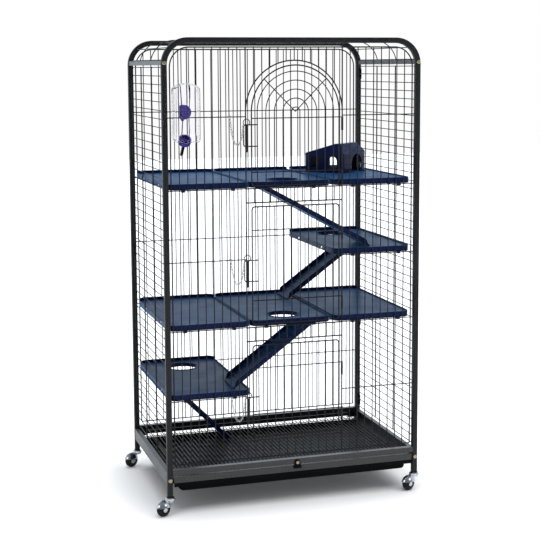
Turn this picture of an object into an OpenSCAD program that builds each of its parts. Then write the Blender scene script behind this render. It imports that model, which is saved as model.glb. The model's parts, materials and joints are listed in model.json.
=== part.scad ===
// Tall wire cage on casters for ferrets: tube frame, welded wire panels, three doors, plastic
// shelves joined by ramps, a slide-out floor grille and waste tray, a hut and an outside bottle.
// X runs along the front, Y from front to back, Z up. All sizes are in millimetres.

/* [Frame] */
// Width over the posts
cage_w = 787; // [760:1:820]
// Depth over the posts
cage_d = 508; // [490:1:540]
// Height from the floor to the top of the frame
cage_h = 1384; // [1370:1:1420]
// Side of the square frame tube
tube = 16; // [14:1:18]
// Wall of the square frame tube
tube_wall = 1.2; // [0.8:0.1:2]
// Centre-line radius of the frame's top bends
bend_r = 70; // [60:1:80]
// Height of the leg ends over the floor
leg_z = 56; // [54:1:60]
// Depth of the top side rails' middle below the frame's top
rail_drop = 71.5; // [64:0.5:79]
// Height of the top side rails' bar
rail_h = 13; // [10:1:16]
// Width of the top side rails' bar
rail_w = 12; // [8:1:13]
// Head diameter of the frame screws
screw_head_d = 12; // [9:0.5:14]
// Shank diameter of the frame screws
screw_d = 5; // [4:0.5:6]

/* [Wire panels] */
// Number of gaps across the front, back and roof panels
mesh_gaps = 30; // [28:1:32]
// Free width between a post and the border wire of a panel
border_gap = 8.5; // [6:0.5:10]
// Diameter of the field wires
wire_d = 3; // [2.4:0.1:3.4]
// Diameter of the border wires and of the wires round a doorway
border_d = 4; // [3.6:0.1:4.4]
// Diameter of the side panels' cross wires
side_wire_d = 2.6; // [2:0.1:3]
// Centre-line radius of the panels' top corners
panel_corner_r = 56; // [52:1:60]
// Height of the panels' bottom border
panel_bottom_z = 147.6; // [144:0.2:152]
// Distance from the frame's top to the panels' top border
panel_top_drop = 27.6; // [24:0.2:32]
// Distance from the frame's top to the side panels' top wire
side_top_drop = 84; // [82:1:94]
// Height of the first line of shelf wires
level_1 = 335; // [328:1:342]
// Height of the second line of shelf wires
level_2 = 541; // [534:1:548]
// Height of the third line of shelf wires
level_3 = 743; // [736:1:750]
// Height of the fourth line of shelf wires
level_4 = 950; // [943:1:957]
// Distance from the arched doorway's centre down to the fifth line of shelf wires
level_5_drop = 13; // [11:1:17]

/* [Doors] */
// Gaps of the panel on either side of the doorways
side_gaps = 9; // [8:1:9]
// Free height of the panel strips between two doorways
bridge_h = 41; // [36:1:46]
// Height of the lowest doorway's sill
sill_z = 200; // [190:1:206]
// Distance from the frame's top to the arched doorway's centre
arch_drop = 213; // [210:1:216]
// Half width of a door over its side wires' centre lines
door_half_w = 134; // [132:0.5:135]
// Shift of the doors towards their hinges
door_shift = 3.5; // [2.5:0.1:4]
// Distance from wire to wire in a door
door_pitch = 25.9; // [25:0.1:26.3]
// Gap from a doorway's edge wires to the door's own, centre to centre
door_gap = 10; // [8:0.5:12]
// Distance from a door's border to its cross wires
door_rail_in = 69; // [60:1:74]
// Height of a hinge clip
clip_h = 40; // [30:1:44]
// Radial clearance of a hinge clip on its wire
clip_fit = 0.08; // [0.04:0.01:0.1]
// Distance from the fifth line of shelf wires down to the top latch's middle
latch_top_drop = 54; // [50:1:58]
// Distance from the first and third lines of shelf wires down to the middles of their latches
latch_drop = 33; // [29:1:37]
// Half height of a latch keeper
keeper_half_h = 31; // [29:0.5:33]
// Diameter of a latch keeper's wire
keeper_d = 3.5; // [3:0.1:4]
// Diameter of a latch pin
pin_d = 5; // [4:0.1:5.4]
// Radial clearance of a latch pin in its barrel
pin_fit = 0.08; // [0.04:0.01:0.1]
// Outer diameter of a latch barrel
barrel_d = 9; // [8:0.1:9.4]
// Outer diameter of a latch pin's ring
ring_d = 22; // [18:0.5:24]
// Wire diameter of a latch pin's ring
ring_wire_d = 2.6; // [2:0.1:3]
// Ring radius of a chain link, at its wire's centre
link_r = 3.3; // [3:0.1:3.6]
// Wire diameter of a chain link
link_d = 1.4; // [1:0.1:1.6]
// Sum of the two drops of a chain from its ends to its lowest point
chain_drop = 133; // [125:1:138]

/* [Shelves and ramps] */
// Width of a shelf
shelf_w = 246; // [240:1:247]
// Depth of a shelf
shelf_d = 454; // [440:1:462]
// Wall of the shelf moulding
shelf_wall = 2.4; // [2:0.1:3]
// Height of a shelf's skirt
skirt_h = 17.4; // [16:0.2:20]
// Depth of the deck below the rim
rim_h = 3.5; // [2.5:0.1:5]
// Corner radius of a shelf
shelf_corner_r = 24; // [18:1:30]
// Diameter of the hole that a ramp leads to
hole_d = 95; // [85:1:98]
// Distance from a shelf's middle to its hole
hole_off = 138; // [130:1:142]
// Width of a ramp
ramp_w = 106; // [96:1:110]
// Height of a ramp's side walls
ramp_wall_h = 14; // [12:0.5:16]
// Distance from one ramp rung to the next
rung_pitch = 22; // [18:1:30]
// Diameter of a ramp's pivot pin
ramp_pin_d = 6; // [5:0.5:7]
// Lengthwise place of a ramp's pivot from the shelf's middle
ramp_pivot_off = 92; // [86:1:94]

/* [Base] */
// Width between the wires of the floor grille, centre to centre
grille_pitch = 12.3; // [11.8:0.1:12.5]
// Diameter of the floor grille's wires
grille_wire_d = 2.5; // [2:0.1:2.5]
// Height of the top face of the crossbars
crossbar_z = 135; // [134:0.5:136]
// Height of the floor grille's front bar
grille_bar_h = 19; // [16:0.5:19]
// Height of the underside of the floor grille's front bar
grille_bar_z = 96; // [95.8:0.1:97]
// Height of the waste tray's underside
tray_z = 69; // [66:1:78]
// Wall of the waste tray
tray_wall = 2.5; // [2:0.1:3]

/* [Casters] */
// Diameter of a caster wheel
wheel_d = 44; // [40:1:46]
// Width of a caster wheel
wheel_w = 21; // [18:1:22]
// Angle that the casters are turned by on their stems, as the cage stands
caster_turn = 20; // [0:1:45]
// Distance from a caster's stem to its axle
trail = 23; // [20:1:24]
// Diameter of a caster's stem
stem_d = 11; // [9:0.5:12]
// Diameter of a caster's axle
axle_d = 6; // [5:0.5:8]
// Radial clearance of stems and axles
bearing_fit = 0.06; // [0.03:0.01:0.1]

/* [Fittings] */
// Width of the bottle
bottle_w = 75; // [68:1:78]
// Depth of the bottle
bottle_depth = 56; // [48:1:60]
// Height of the bottle's body
bottle_h = 165; // [150:1:175]
// Distance from the fifth line of shelf wires down to the bottle's underside
bottle_drop = 67; // [62:1:72]
// Wall of the bottle
bottle_wall = 1.6; // [1.2:0.1:2.5]
// Diameter of the bottle's cap
cap_d = 37; // [34:0.5:38]
// Outer diameter of the sipper tube
sipper_d = 9; // [7:0.5:10]
// Side of the hut's square plan
hut_w = 144; // [130:1:150]
// Height of the hut
hut_h = 91; // [80:1:110]
// Angle that the hut is turned by
hut_turn = 39; // [0:1:45]
// Distance of the hut's middle behind the cage's
hut_y = 90; // [60:1:100]
// Wall of the hut
hut_wall = 2.6; // [2:0.1:3.5]

/* [Hidden] */

frame_grey = [0.22, 0.22, 0.23];
wire_grey = [0.2, 0.2, 0.21];
steel_grey = [0.5, 0.53, 0.56];
navy = [0.07, 0.12, 0.3];
black_plastic = [0.05, 0.05, 0.06];
chrome = [0.75, 0.77, 0.8];
brass = [0.78, 0.72, 0.5];
violet = [0.28, 0.2, 0.62];

// Places of the frame
post_x = (cage_w - tube) / 2;
post_y = (cage_d - tube) / 2;
inner_x = post_x - tube / 2;
inner_y = post_y - tube / 2;
top_axis_z = cage_h - tube / 2;
bend_steps = 14;
rail_z = cage_h - rail_drop;
hole_fit = 0.1;
base_screw_z = 104.5;

// Places of the wires
round_sides = 24;
wire_sides = 8;
weld_bite = 0.4;
mesh_w = cage_w - 2 * tube - 2 * border_gap;
pitch = mesh_w / mesh_gaps;
half_mesh = mesh_w / 2;
panel_top_z = cage_h - panel_top_drop;
side_top_z = cage_h - side_top_drop;
arch_z = cage_h - arch_drop;
level_5 = arch_z - level_5_drop;
layer = wire_d - weld_bite;
foot_wire_d = border_d - weld_bite;
levels = [level_1, level_2, level_3, level_4, level_5];

// Places of the doors
open_x = (mesh_gaps / 2 - side_gaps) * pitch;
door_y = -post_y - 1;
door_left = door_shift - door_half_w;
door_right = door_shift + door_half_w;
door_wires = 10;
latch_top_z = level_5 - latch_top_drop;
latch_middle_z = level_3 - latch_drop;
latch_low_z = level_1 - latch_drop;
clip_wall = 1.25;
clip_r = border_d / 2 + clip_fit + clip_wall;
clip_gap = 2;
door_corner_r = 9;
arch_cut = acos(1 - border_d / open_x);
keeper_y = -post_y - border_d / 2 - 0.35 - keeper_d / 2;
keeper_end_x = -open_x - 7.4;
keeper_corner_r = 6;
pin_y = keeper_y - keeper_d / 2 - 0.3 - pin_d / 2;
barrel_half_h = 25;
pin_tip = 48;
ring_r = (ring_d - ring_wire_d) / 2;
ring_rise = 38;
chain_wire = 7;
chain_pitch = 2 * link_r - link_d - 0.25;
chain_a = 8;
eye_r = wire_d / 2 + 3.4;

// Places of the shelves
shelf_mid_y = -inner_y - 3 + shelf_d / 2;
shelf_left_x = -inner_x + shelf_w / 2 - 3.4;
shelf_centre_x = -8;
shelf_right_x = 247.5;
deck_t = 2.6;
shelf_rest = wire_d / 2 + 0.1;
rear_rise = 6;
pivot_drop = 12;
ramp_foot_r = 3;
ramp_foot_gap = 0.4;
top_foot_x = shelf_right_x + 2.5;
upper_foot_x = shelf_centre_x + 88;
middle_foot_x = shelf_left_x + 81;
lower_foot_x = shelf_left_x + 138;

// Places of the base
shelf_lip_z = 99;
runner_t = 1.5;
runner_face_x = cage_w / 2 - 0.5;
cross_wire_z = shelf_lip_z + 0.3 + grille_wire_d / 2;
long_wire_z = cross_wire_z + grille_wire_d - 0.3;
bar_face_y = -post_y - tube / 2;
bar_t = 1.5;
tray_top_z = grille_bar_z - 0.5;
button_x = 3;
button_z = 124;

// Places of the casters
axle_z = wheel_d / 2;
hood_t = 1.8;
hood_r = wheel_d / 2 + 2.2 + hood_t;
hood_bulge = wheel_w / 2 + 6.5;
hood_cut = 7;
head_r = 15;
// How far the hood's rim reaches from the stem, along X
hood_shrink = sqrt(1 - pow(hood_cut / hood_r, 2));
caster_reach = trail * cos(caster_turn) + hood_shrink
    * sqrt(pow(hood_r * cos(caster_turn), 2) + pow(hood_bulge * sin(caster_turn), 2));

// Places of the fittings
bottle_x = -half_mesh + 1.5 * pitch;
bottle_back_y = -post_y - 12;
bottle_z = level_5 - bottle_drop;
clip_z = bottle_z + 83;
cap_tilt = 45;
hut_floor_z = level_4 + shelf_rest + skirt_h - rim_h + 0.3;

// The middle of the whole object's box, which the model is centred on
box_mid_x = (head_r - caster_reach) / 2;
box_mid_y = ((bottle_back_y - bottle_depth) + (post_y + head_r)) / 2;

module place() translate([-box_mid_x, -box_mid_y, 0]) children();

function shelf_rim(level) = level + shelf_rest + skirt_h;
function shelf_deck(level) = shelf_rim(level) - rim_h;
function over_flats(d) = d / cos(180 / wire_sides);
function arc(cx, cy, r, a0, a1, n) =
    [for (i = [0:n]) let (a = a0 + (a1 - a0) * i / n) [cx + r * cos(a), cy + r * sin(a)]];
function reversed(list) = [for (i = [len(list) - 1:-1:0]) list[i]];
function box_points(x0, x1, y0, y1, r, n) = concat(arc(x1 - r, y1 - r, r, 0, 90, n),
    arc(x0 + r, y1 - r, r, 90, 180, n), arc(x0 + r, y0 + r, r, 180, 270, n),
    arc(x1 - r, y0 + r, r, 270, 360, n));
function asinh(x) = ln(x + sqrt(x * x + 1));

// A drawing in X and Z, given thickness along Y from y0 to y1
module upright(y0, y1) translate([0, y1, 0]) rotate([90, 0, 0]) linear_extrude(y1 - y0) children();

// A drawing in Y and Z, given length along X from x0 to x1
module lengthways(x0, x1)
    translate([x0, 0, 0]) rotate([90, 0, 90]) linear_extrude(x1 - x0) children();

// Straight wires with flat sides
module wire_up(x, y, z0, z1, d)
    translate([x, y, z0]) rotate(180 / wire_sides)
        cylinder(h = z1 - z0, d = over_flats(d), $fn = wire_sides);
module wire_x(x0, x1, y, z, d)
    translate([x0, y, z]) rotate([0, 90, 0]) rotate(180 / wire_sides)
        cylinder(h = x1 - x0, d = over_flats(d), $fn = wire_sides);
module wire_y(x, y0, y1, z, d)
    translate([x, y0, z]) rotate([-90, 0, 0]) rotate(180 / wire_sides)
        cylinder(h = y1 - y0, d = over_flats(d), $fn = wire_sides);

// Straight round rods, for wires that run on into a bend or carry a hinge
module rod_up(x, y, z0, z1, d) translate([x, y, z0]) cylinder(h = z1 - z0, d = d, $fn = round_sides);
module rod_x(x0, x1, y, z, d)
    translate([x0, y, z]) rotate([0, 90, 0]) cylinder(h = x1 - x0, d = d, $fn = round_sides);

// A round wire bent in the plane of X and Z, about (x, z), from angle a0 to a1
module bend(x, y, z, r, a0, a1, d)
    translate([x, y, z]) rotate([90, 0, 0]) rotate(a0)
        rotate_extrude(angle = a1 - a0, $fn = 72) translate([r, 0]) circle(d = d, $fn = round_sides);

// ---------------------------------------------------------------- frame

function arch_line(half_w, top, r, bottom) = concat([[half_w, bottom]],
    arc(half_w - r, top - r, r, 0, 90, bend_steps),
    arc(-half_w + r, top - r, r, 90, 180, bend_steps), [[-half_w, bottom]]);

module arch_band(inset, bottom) {
    outer = arch_line(cage_w / 2 - inset, cage_h - inset, bend_r + tube / 2 - inset, bottom);
    inner = arch_line(cage_w / 2 - tube + inset, cage_h - tube + inset,
        bend_r - tube / 2 + inset, bottom);
    polygon(concat(outer, reversed(inner)));
}

module bent_frame(side) {
    mid = side * post_y;
    difference() {
        upright(mid - tube / 2, mid + tube / 2) arch_band(0, leg_z);
        upright(mid - tube / 2 + tube_wall, mid + tube / 2 - tube_wall)
            arch_band(tube_wall, leg_z - 1);
        for (x = [-post_x, post_x], z = [base_screw_z, rail_z])
            translate([x, mid + tube, z]) rotate([90, 0, 0])
                cylinder(h = 2 * tube, d = screw_d + 2 * hole_fit, $fn = round_sides);
    }
}

module front_frame() place() color(frame_grey) bent_frame(-1);
module rear_frame() place() color(frame_grey) bent_frame(1);

screw_depth = tube + 8;
module screw_socket(x, z) for (side = [-1, 1])
    translate([x, side * (inner_y - 10), z]) rotate([-side * 90, 0, 0])
        cylinder(h = 20, d = screw_d + 2 * hole_fit, $fn = round_sides);

module top_rails() place() color(steel_grey) for (side = [-1, 1]) difference() {
    translate([side * post_x - rail_w / 2, -inner_y, rail_z - rail_h / 2])
        cube([rail_w, 2 * inner_y, rail_h]);
    screw_socket(side * post_x, rail_z);
}

// The runner's section: a web with a cover flange, a ledge for the grille and one for the tray
ledge_x = half_mesh - 3;
tray_ledge_z = tray_top_z - tray_wall - 0.3;
runner_top_z = 126;
block_l = 14;
module runner_section() {
    web = runner_face_x - runner_t;
    polygon([[runner_face_x, tray_ledge_z - runner_t], [runner_face_x, runner_top_z],
        [inner_x + 1.5, runner_top_z], [inner_x + 1.5, runner_top_z - runner_t],
        [web, runner_top_z - runner_t], [web, shelf_lip_z], [ledge_x, shelf_lip_z],
        [ledge_x, shelf_lip_z - runner_t], [web, shelf_lip_z - runner_t], [web, tray_ledge_z],
        [ledge_x - 2, tray_ledge_z], [ledge_x - 2, tray_ledge_z - runner_t]]);
}
module runner() difference() {
    union() {
        upright(-inner_y, inner_y) runner_section();
        for (y = [-inner_y, inner_y - block_l])
            translate([inner_x + 2, y, shelf_lip_z])
                cube([runner_face_x - runner_t - inner_x - 2, block_l,
                    runner_top_z - runner_t - shelf_lip_z]);
    }
    screw_socket(post_x, base_screw_z);
}
module right_runner() place() color(steel_grey) runner();
module left_runner() place() color(steel_grey) mirror([1, 0, 0]) runner();

module crossbar(side) difference() {
    translate([-inner_x, side * post_y - tube / 2, crossbar_z - tube])
        cube([2 * inner_x, tube, tube]);
    translate([-inner_x - 1, side * post_y - tube / 2 + tube_wall, crossbar_z - tube + tube_wall])
        cube([2 * inner_x + 2, tube - 2 * tube_wall, tube - 2 * tube_wall]);
    if (side < 0) translate([button_x, -post_y + tube, button_z]) rotate([90, 0, 0])
        cylinder(h = 2 * tube, d = button_screw_d - 2 * hole_fit, $fn = round_sides);
}
stop_w = 25;
stop_h = 22;
strip_z = 103;
strip_h = 12;
module front_crossbar() place() color(frame_grey) crossbar(-1);
module rear_crossbar() place() color(frame_grey) {
    crossbar(1);
    for (x = [-inner_x, inner_x - stop_w])
        translate([x, post_y + tube / 2 - 2, crossbar_z - tube - stop_h])
            cube([stop_w, 2, stop_h + 1]);
    // A strip between the two stop plates, behind the floor grille
    translate([-inner_x + stop_w - 3, post_y + tube / 2 - 4, strip_z])
        cube([2 * (inner_x - stop_w + 3), 2.4, strip_h]);
}

// ---------------------------------------------------------------- fasteners

head_h = 3;
button_screw_d = 4;
button_t = 3;
module pan_head(d) rotate_extrude($fn = 48)
    polygon(concat([[0, 0], [d / 2, 0]], arc(d / 2 - 1.4, head_h - 1.4, 1.4, 0, 90, 4), [[0, head_h]]));
module driver_cross() for (a = [0, 90]) rotate(a)
    translate([-2.4, -0.5, head_h - 1.2]) cube([4.8, 1, 2]);
module frame_screw() {
    difference() {
        pan_head(screw_head_d);
        driver_cross();
    }
    translate([0, 0, -screw_depth]) cylinder(h = screw_depth, d = screw_d, $fn = round_sides);
}
module frame_screws() place() color(brass) {
    for (x = [-post_x, post_x], z = [base_screw_z, rail_z], side = [-1, 1])
        translate([x, side * (post_y + tube / 2), z]) rotate([-side * 90, 0, 0]) frame_screw();
    translate([button_x, -post_y - tube / 2 - button_t - 1.3, button_z]) rotate([90, 0, 0]) {
        difference() {
            pan_head(10);
            driver_cross();
        }
        translate([0, 0, -10])
            cylinder(h = 10, d = button_screw_d - 2 * hole_fit, $fn = round_sides);
    }
}

hook_h = 34;
hook_first_z = 164;
hook_count = 5;
hook_step = (rail_z - 36.5 - hook_first_z) / (hook_count - 1);
hook_in = border_d / 2 + 0.1;
module panel_hooks() place() color(black_plastic)
    for (sx = [-1, 1], sy = [-1, 1], k = [0:hook_count - 1])
        translate([sx * post_x, sy * inner_y, hook_first_z + k * hook_step - hook_h / 2])
            mirror([sx < 0 ? 1 : 0, 0, 0]) mirror([0, sy > 0 ? 0 : 1, 0]) hook();
// A pressed hook on a post, bent round the outside of the side panel's border wire
module hook() linear_extrude(hook_h) polygon([[-3, 0], [-3, -1.5], [hook_in, -1.5],
    [hook_in, -13], [0.5, -14.5], [1.5, -16], [hook_in + 1.5, -14], [hook_in + 1.5, 0]]);

plug_flange = 2;
plug_depth = 30;
plug_half = tube / 2 - tube_wall - 0.1;
module leg_plugs() place() color(black_plastic)
    for (x = [-post_x, post_x], y = [-post_y, post_y]) translate([x, y, leg_z]) difference() {
        union() {
            translate([-tube / 2, -tube / 2, -plug_flange]) cube([tube, tube, plug_flange]);
            translate([-plug_half, -plug_half, -1])
                cube([2 * plug_half, 2 * plug_half, plug_depth + 1]);
        }
        translate([0, 0, -plug_flange - 1])
            cylinder(h = plug_depth + 10, d = stem_d + 2 * bearing_fit, $fn = round_sides);
    }

// ---------------------------------------------------------------- wire panels

function column_x(i) = -half_mesh + i * pitch;
// Height of the panel's top border over a column, lower in the rounded corners
function border_z(x) = let (over = max(0, abs(x) - (half_mesh - panel_corner_r)))
    panel_top_z - panel_corner_r + sqrt(panel_corner_r * panel_corner_r - over * over);

module border_corner(side, y) bend(side * (half_mesh - panel_corner_r), y,
    panel_top_z - panel_corner_r, panel_corner_r, side > 0 ? 0 : 90, side > 0 ? 90 : 180, border_d);

// One side of the front panel, drawn for the right
module front_side() {
    y = -post_y;
    rod_up(half_mesh, y, panel_bottom_z, panel_top_z - panel_corner_r, border_d);
    border_corner(1, y);
    rod_x(open_x, half_mesh - panel_corner_r, y, panel_top_z, border_d);
    rod_up(open_x, y, panel_bottom_z, panel_top_z, border_d);
    wire_x(open_x, half_mesh, y, panel_bottom_z, foot_wire_d);
    for (i = [1:side_gaps - 1])
        wire_up(half_mesh - i * pitch, y, panel_bottom_z, border_z(half_mesh - i * pitch), wire_d);
    for (z = levels) wire_x(open_x, inner_x, y + layer, z, wire_d);
    bend(0, y, arch_z, open_x, 0, arch_cut, border_d);
}
module front_panel_right() place() color(wire_grey) front_side();
module front_panel_left() place() color(wire_grey) mirror([1, 0, 0]) front_side();

edge_end = open_x - border_d / 2;
module front_panel_header() place() color(wire_grey) {
    bend(0, -post_y, arch_z, open_x, arch_cut, 180 - arch_cut, border_d);
    rod_x(-edge_end, edge_end, -post_y, panel_top_z, border_d);
    for (i = [side_gaps + 1:mesh_gaps - side_gaps - 1]) {
        x = column_x(i);
        wire_up(x, -post_y, arch_z + sqrt(open_x * open_x - x * x), panel_top_z, wire_d);
    }
}
module strip(z0, z1) {
    for (z = [z0, z1]) rod_x(-edge_end, edge_end, -post_y, z, border_d);
    for (i = [side_gaps + 1:mesh_gaps - side_gaps - 1])
        wire_up(column_x(i), -post_y, z0, z1, wire_d);
}
module front_panel_bridges() place() color(wire_grey) {
    strip(panel_bottom_z, sill_z);
    strip(level_2 - bridge_h, level_2);
    strip(level_4 - bridge_h, level_4);
}

module back_panel() place() color(wire_grey) {
    y = post_y;
    for (side = [-1, 1]) {
        rod_up(side * half_mesh, y, panel_bottom_z, panel_top_z - panel_corner_r, border_d);
        border_corner(side, y);
    }
    rod_x(-half_mesh + panel_corner_r, half_mesh - panel_corner_r, y, panel_top_z, border_d);
    wire_x(-half_mesh, half_mesh, y, panel_bottom_z, foot_wire_d);
    for (i = [1:mesh_gaps - 1]) wire_up(column_x(i), y, panel_bottom_z, border_z(column_x(i)), wire_d);
    for (z = levels) wire_x(-inner_x, inner_x, y - layer, z, wire_d);
}

side_border_y = inner_y - 8;
side_rows = floor((side_top_z - panel_bottom_z + 6) / pitch);
module side_mesh(side) {
    for (y = [-side_border_y, -side_border_y / 3, side_border_y / 3, side_border_y])
        wire_up(side * post_x, y, side_top_z - side_rows * pitch - 3, side_top_z + 2, border_d);
    for (k = [0:side_rows])
        wire_y(side * (post_x - (border_d + side_wire_d) / 2 + weld_bite), -side_border_y - 2,
            side_border_y + 2, side_top_z - k * pitch, side_wire_d);
}
module left_panel() place() color(wire_grey) side_mesh(-1);
module right_panel() place() color(wire_grey) side_mesh(1);

roof_border_y = inner_y - 6;
// The roof's outermost lengthwise wires lie on the top rails, inside the bends of the cross wires
roof_foot_z = rail_z + rail_h / 2 + wire_d / 2 + 0.1;
roof_foot_turn = asin((roof_foot_z - top_axis_z + bend_r) / bend_r);
roof_end_turn = roof_foot_turn - 1.2;
// A cross wire of the roof, bent down at both sides; it lies over the lengthwise wires
module roof_hoop(y) {
    top = top_axis_z + layer;
    side = post_x + layer;
    r = bend_r + layer;
    wire_x(-side + r, side - r, y, top, wire_d);
    for (s = [0, 1]) mirror([s, 0, 0]) upright(y - wire_d / 2, y + wire_d / 2) polygon(concat(
        arc(side - r, top - r, r + wire_d / 2, roof_end_turn, 90, 8),
        [[side - r - 1, top + wire_d / 2], [side - r - 1, top - wire_d / 2]],
        arc(side - r, top - r, r - wire_d / 2, 90, roof_end_turn, 8)));
}
module roof_panel() place() color(wire_grey) {
    for (y = [-roof_border_y, -roof_border_y / 3, roof_border_y / 3, roof_border_y]) roof_hoop(y);
    for (i = [0:mesh_gaps]) if (abs(column_x(i)) < post_x - bend_r)
        wire_y(column_x(i), -inner_y, inner_y, top_axis_z, wire_d);
    for (side = [-1, 1], turn = [45, roof_foot_turn])
        wire_y(side * (post_x - bend_r * (1 - cos(turn))), -inner_y, inner_y,
            top_axis_z - bend_r * (1 - sin(turn)), wire_d);
}

// ---------------------------------------------------------------- doors

function door_column(k) = door_shift + (k - (door_wires - 1) / 2) * door_pitch;

// A wire bent into a U: two legs towards the door and a closed end past the doorway's wire
module keeper(z) {
    turn_x = keeper_end_x + keeper_corner_r;
    reach = keeper_half_h - keeper_corner_r;
    for (s = [-1, 1]) rod_x(turn_x, door_column(0) + 1, keeper_y, z + s * keeper_half_h, keeper_d);
    bend(turn_x, keeper_y, z + reach, keeper_corner_r, 90, 180, keeper_d);
    bend(turn_x, keeper_y, z - reach, keeper_corner_r, 180, 270, keeper_d);
    rod_up(keeper_end_x, keeper_y, z - reach, z + reach, keeper_d);
}
module door_foot(z0) {
    rod_x(door_left + door_corner_r, door_right - door_corner_r, door_y, z0, border_d);
    bend(door_left + door_corner_r, door_y, z0 + door_corner_r, door_corner_r, 180, 270, border_d);
    bend(door_right - door_corner_r, door_y, z0 + door_corner_r, door_corner_r, 270, 360, border_d);
}
module door_sides(z0, z1) for (x = [door_left, door_right])
    rod_up(x, door_y, z0 + door_corner_r, z1, border_d);
// A cross wire of a door, which runs on to its hinge clip
module door_rail(z) rod_x(door_left, open_x - clip_r, door_y + layer, z, wire_d);

module square_door(z0, z1, latch_z) {
    door_foot(z0);
    door_sides(z0, z1 - door_corner_r);
    rod_x(door_left + door_corner_r, door_right - door_corner_r, door_y, z1, border_d);
    bend(door_left + door_corner_r, door_y, z1 - door_corner_r, door_corner_r, 90, 180, border_d);
    bend(door_right - door_corner_r, door_y, z1 - door_corner_r, door_corner_r, 0, 90, border_d);
    for (k = [0:door_wires - 1]) wire_up(door_column(k), door_y, z0, z1, wire_d);
    for (z = [z0 + door_rail_in, z1 - door_rail_in]) door_rail(z);
    keeper(latch_z);
}
top_door_z = level_4 + door_gap - 2;
middle_door_z = level_2 + door_gap;
middle_door_top = level_4 - bridge_h - door_gap - 2;
lower_door_z = sill_z + door_gap;
lower_door_top = level_2 - bridge_h - door_gap - 3;
top_rail_low = top_door_z + door_rail_in - 30;
top_rail_high = level_5 - clip_gap - wire_d;

module top_door() place() color(wire_grey) {
    door_foot(top_door_z);
    door_sides(top_door_z, arch_z);
    bend(door_shift, door_y, arch_z, door_half_w, 0, 180, border_d);
    for (k = [0:door_wires - 1]) rod_up(door_column(k), door_y, top_door_z, arch_z, wire_d);
    for (k = [0:door_wires / 2 - 1])
        bend(door_shift, door_y, arch_z, (k + 0.5) * door_pitch, 0, 180, wire_d);
    for (side = [-1, 1]) translate([door_shift, door_y + layer, arch_z]) rotate([0, side * 45, 0])
        cylinder(h = door_half_w, d = wire_d, $fn = round_sides);
    for (z = [top_rail_low, top_rail_high]) door_rail(z);
    keeper(latch_top_z);
}
module middle_door() place() color(wire_grey)
    square_door(middle_door_z, middle_door_top, latch_middle_z);
module lower_door() place() color(wire_grey)
    square_door(lower_door_z, lower_door_top, latch_low_z);

// A sleeve round the doorway's wire, welded to the end of the door's cross wire at its top
module hinge_clip(rail) translate([open_x, -post_y, rail + wire_d / 2 - clip_h]) difference() {
    cylinder(h = clip_h, r = clip_r, $fn = 36);
    translate([0, 0, -1]) cylinder(h = clip_h + 2, r = clip_r - clip_wall, $fn = 36);
}
module clips(z0, z1) for (z = [z0, z1]) hinge_clip(z);
module top_door_clips() place() color(frame_grey) clips(top_rail_low, top_rail_high);
module middle_door_clips() place() color(frame_grey)
    clips(middle_door_z + door_rail_in, middle_door_top - door_rail_in);
module lower_door_clips() place() color(frame_grey)
    clips(lower_door_z + door_rail_in, lower_door_top - door_rail_in);

// ---------------------------------------------------------------- latches

module barrel(z) {
    difference() {
        union() {
            translate([-open_x, pin_y, z - barrel_half_h])
                cylinder(h = 2 * barrel_half_h, d = barrel_d, $fn = 36);
            translate([-open_x - 1.5, pin_y, z - barrel_half_h + 5])
                cube([3, -post_y - border_d / 2 - pin_y, 2 * barrel_half_h - 10]);
        }
        translate([-open_x, pin_y, z - barrel_half_h - 1])
            cylinder(h = 2 * barrel_half_h + 2, d = pin_d + 2 * pin_fit, $fn = 36);
    }
}
module latch_barrels() place() color(frame_grey)
    for (z = [latch_top_z, latch_middle_z, latch_low_z]) barrel(z);

module latch_pin(z) {
    translate([-open_x, pin_y, z - pin_tip + 2])
        cylinder(h = pin_tip + barrel_half_h + 1, d = pin_d, $fn = 36);
    translate([-open_x, pin_y, z - pin_tip]) cylinder(h = 2, d1 = pin_d - 2, d2 = pin_d, $fn = 36);
    translate([-open_x, pin_y, z + barrel_half_h + 0.3]) cylinder(h = 3.2, d = 8, $fn = 36);
    translate([-open_x, pin_y, z + ring_rise]) rotate([90, 0, 0]) rotate_extrude($fn = 48)
        translate([ring_r, 0]) circle(d = ring_wire_d, $fn = round_sides);
}
module latch_pin_top() place() color(frame_grey) latch_pin(latch_top_z);
module latch_pin_middle() place() color(frame_grey) latch_pin(latch_middle_z);
module latch_pin_lower() place() color(frame_grey) latch_pin(latch_low_z);

module link(r, d) rotate_extrude($fn = 36) translate([r, 0]) circle(d = d, $fn = 16);

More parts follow.
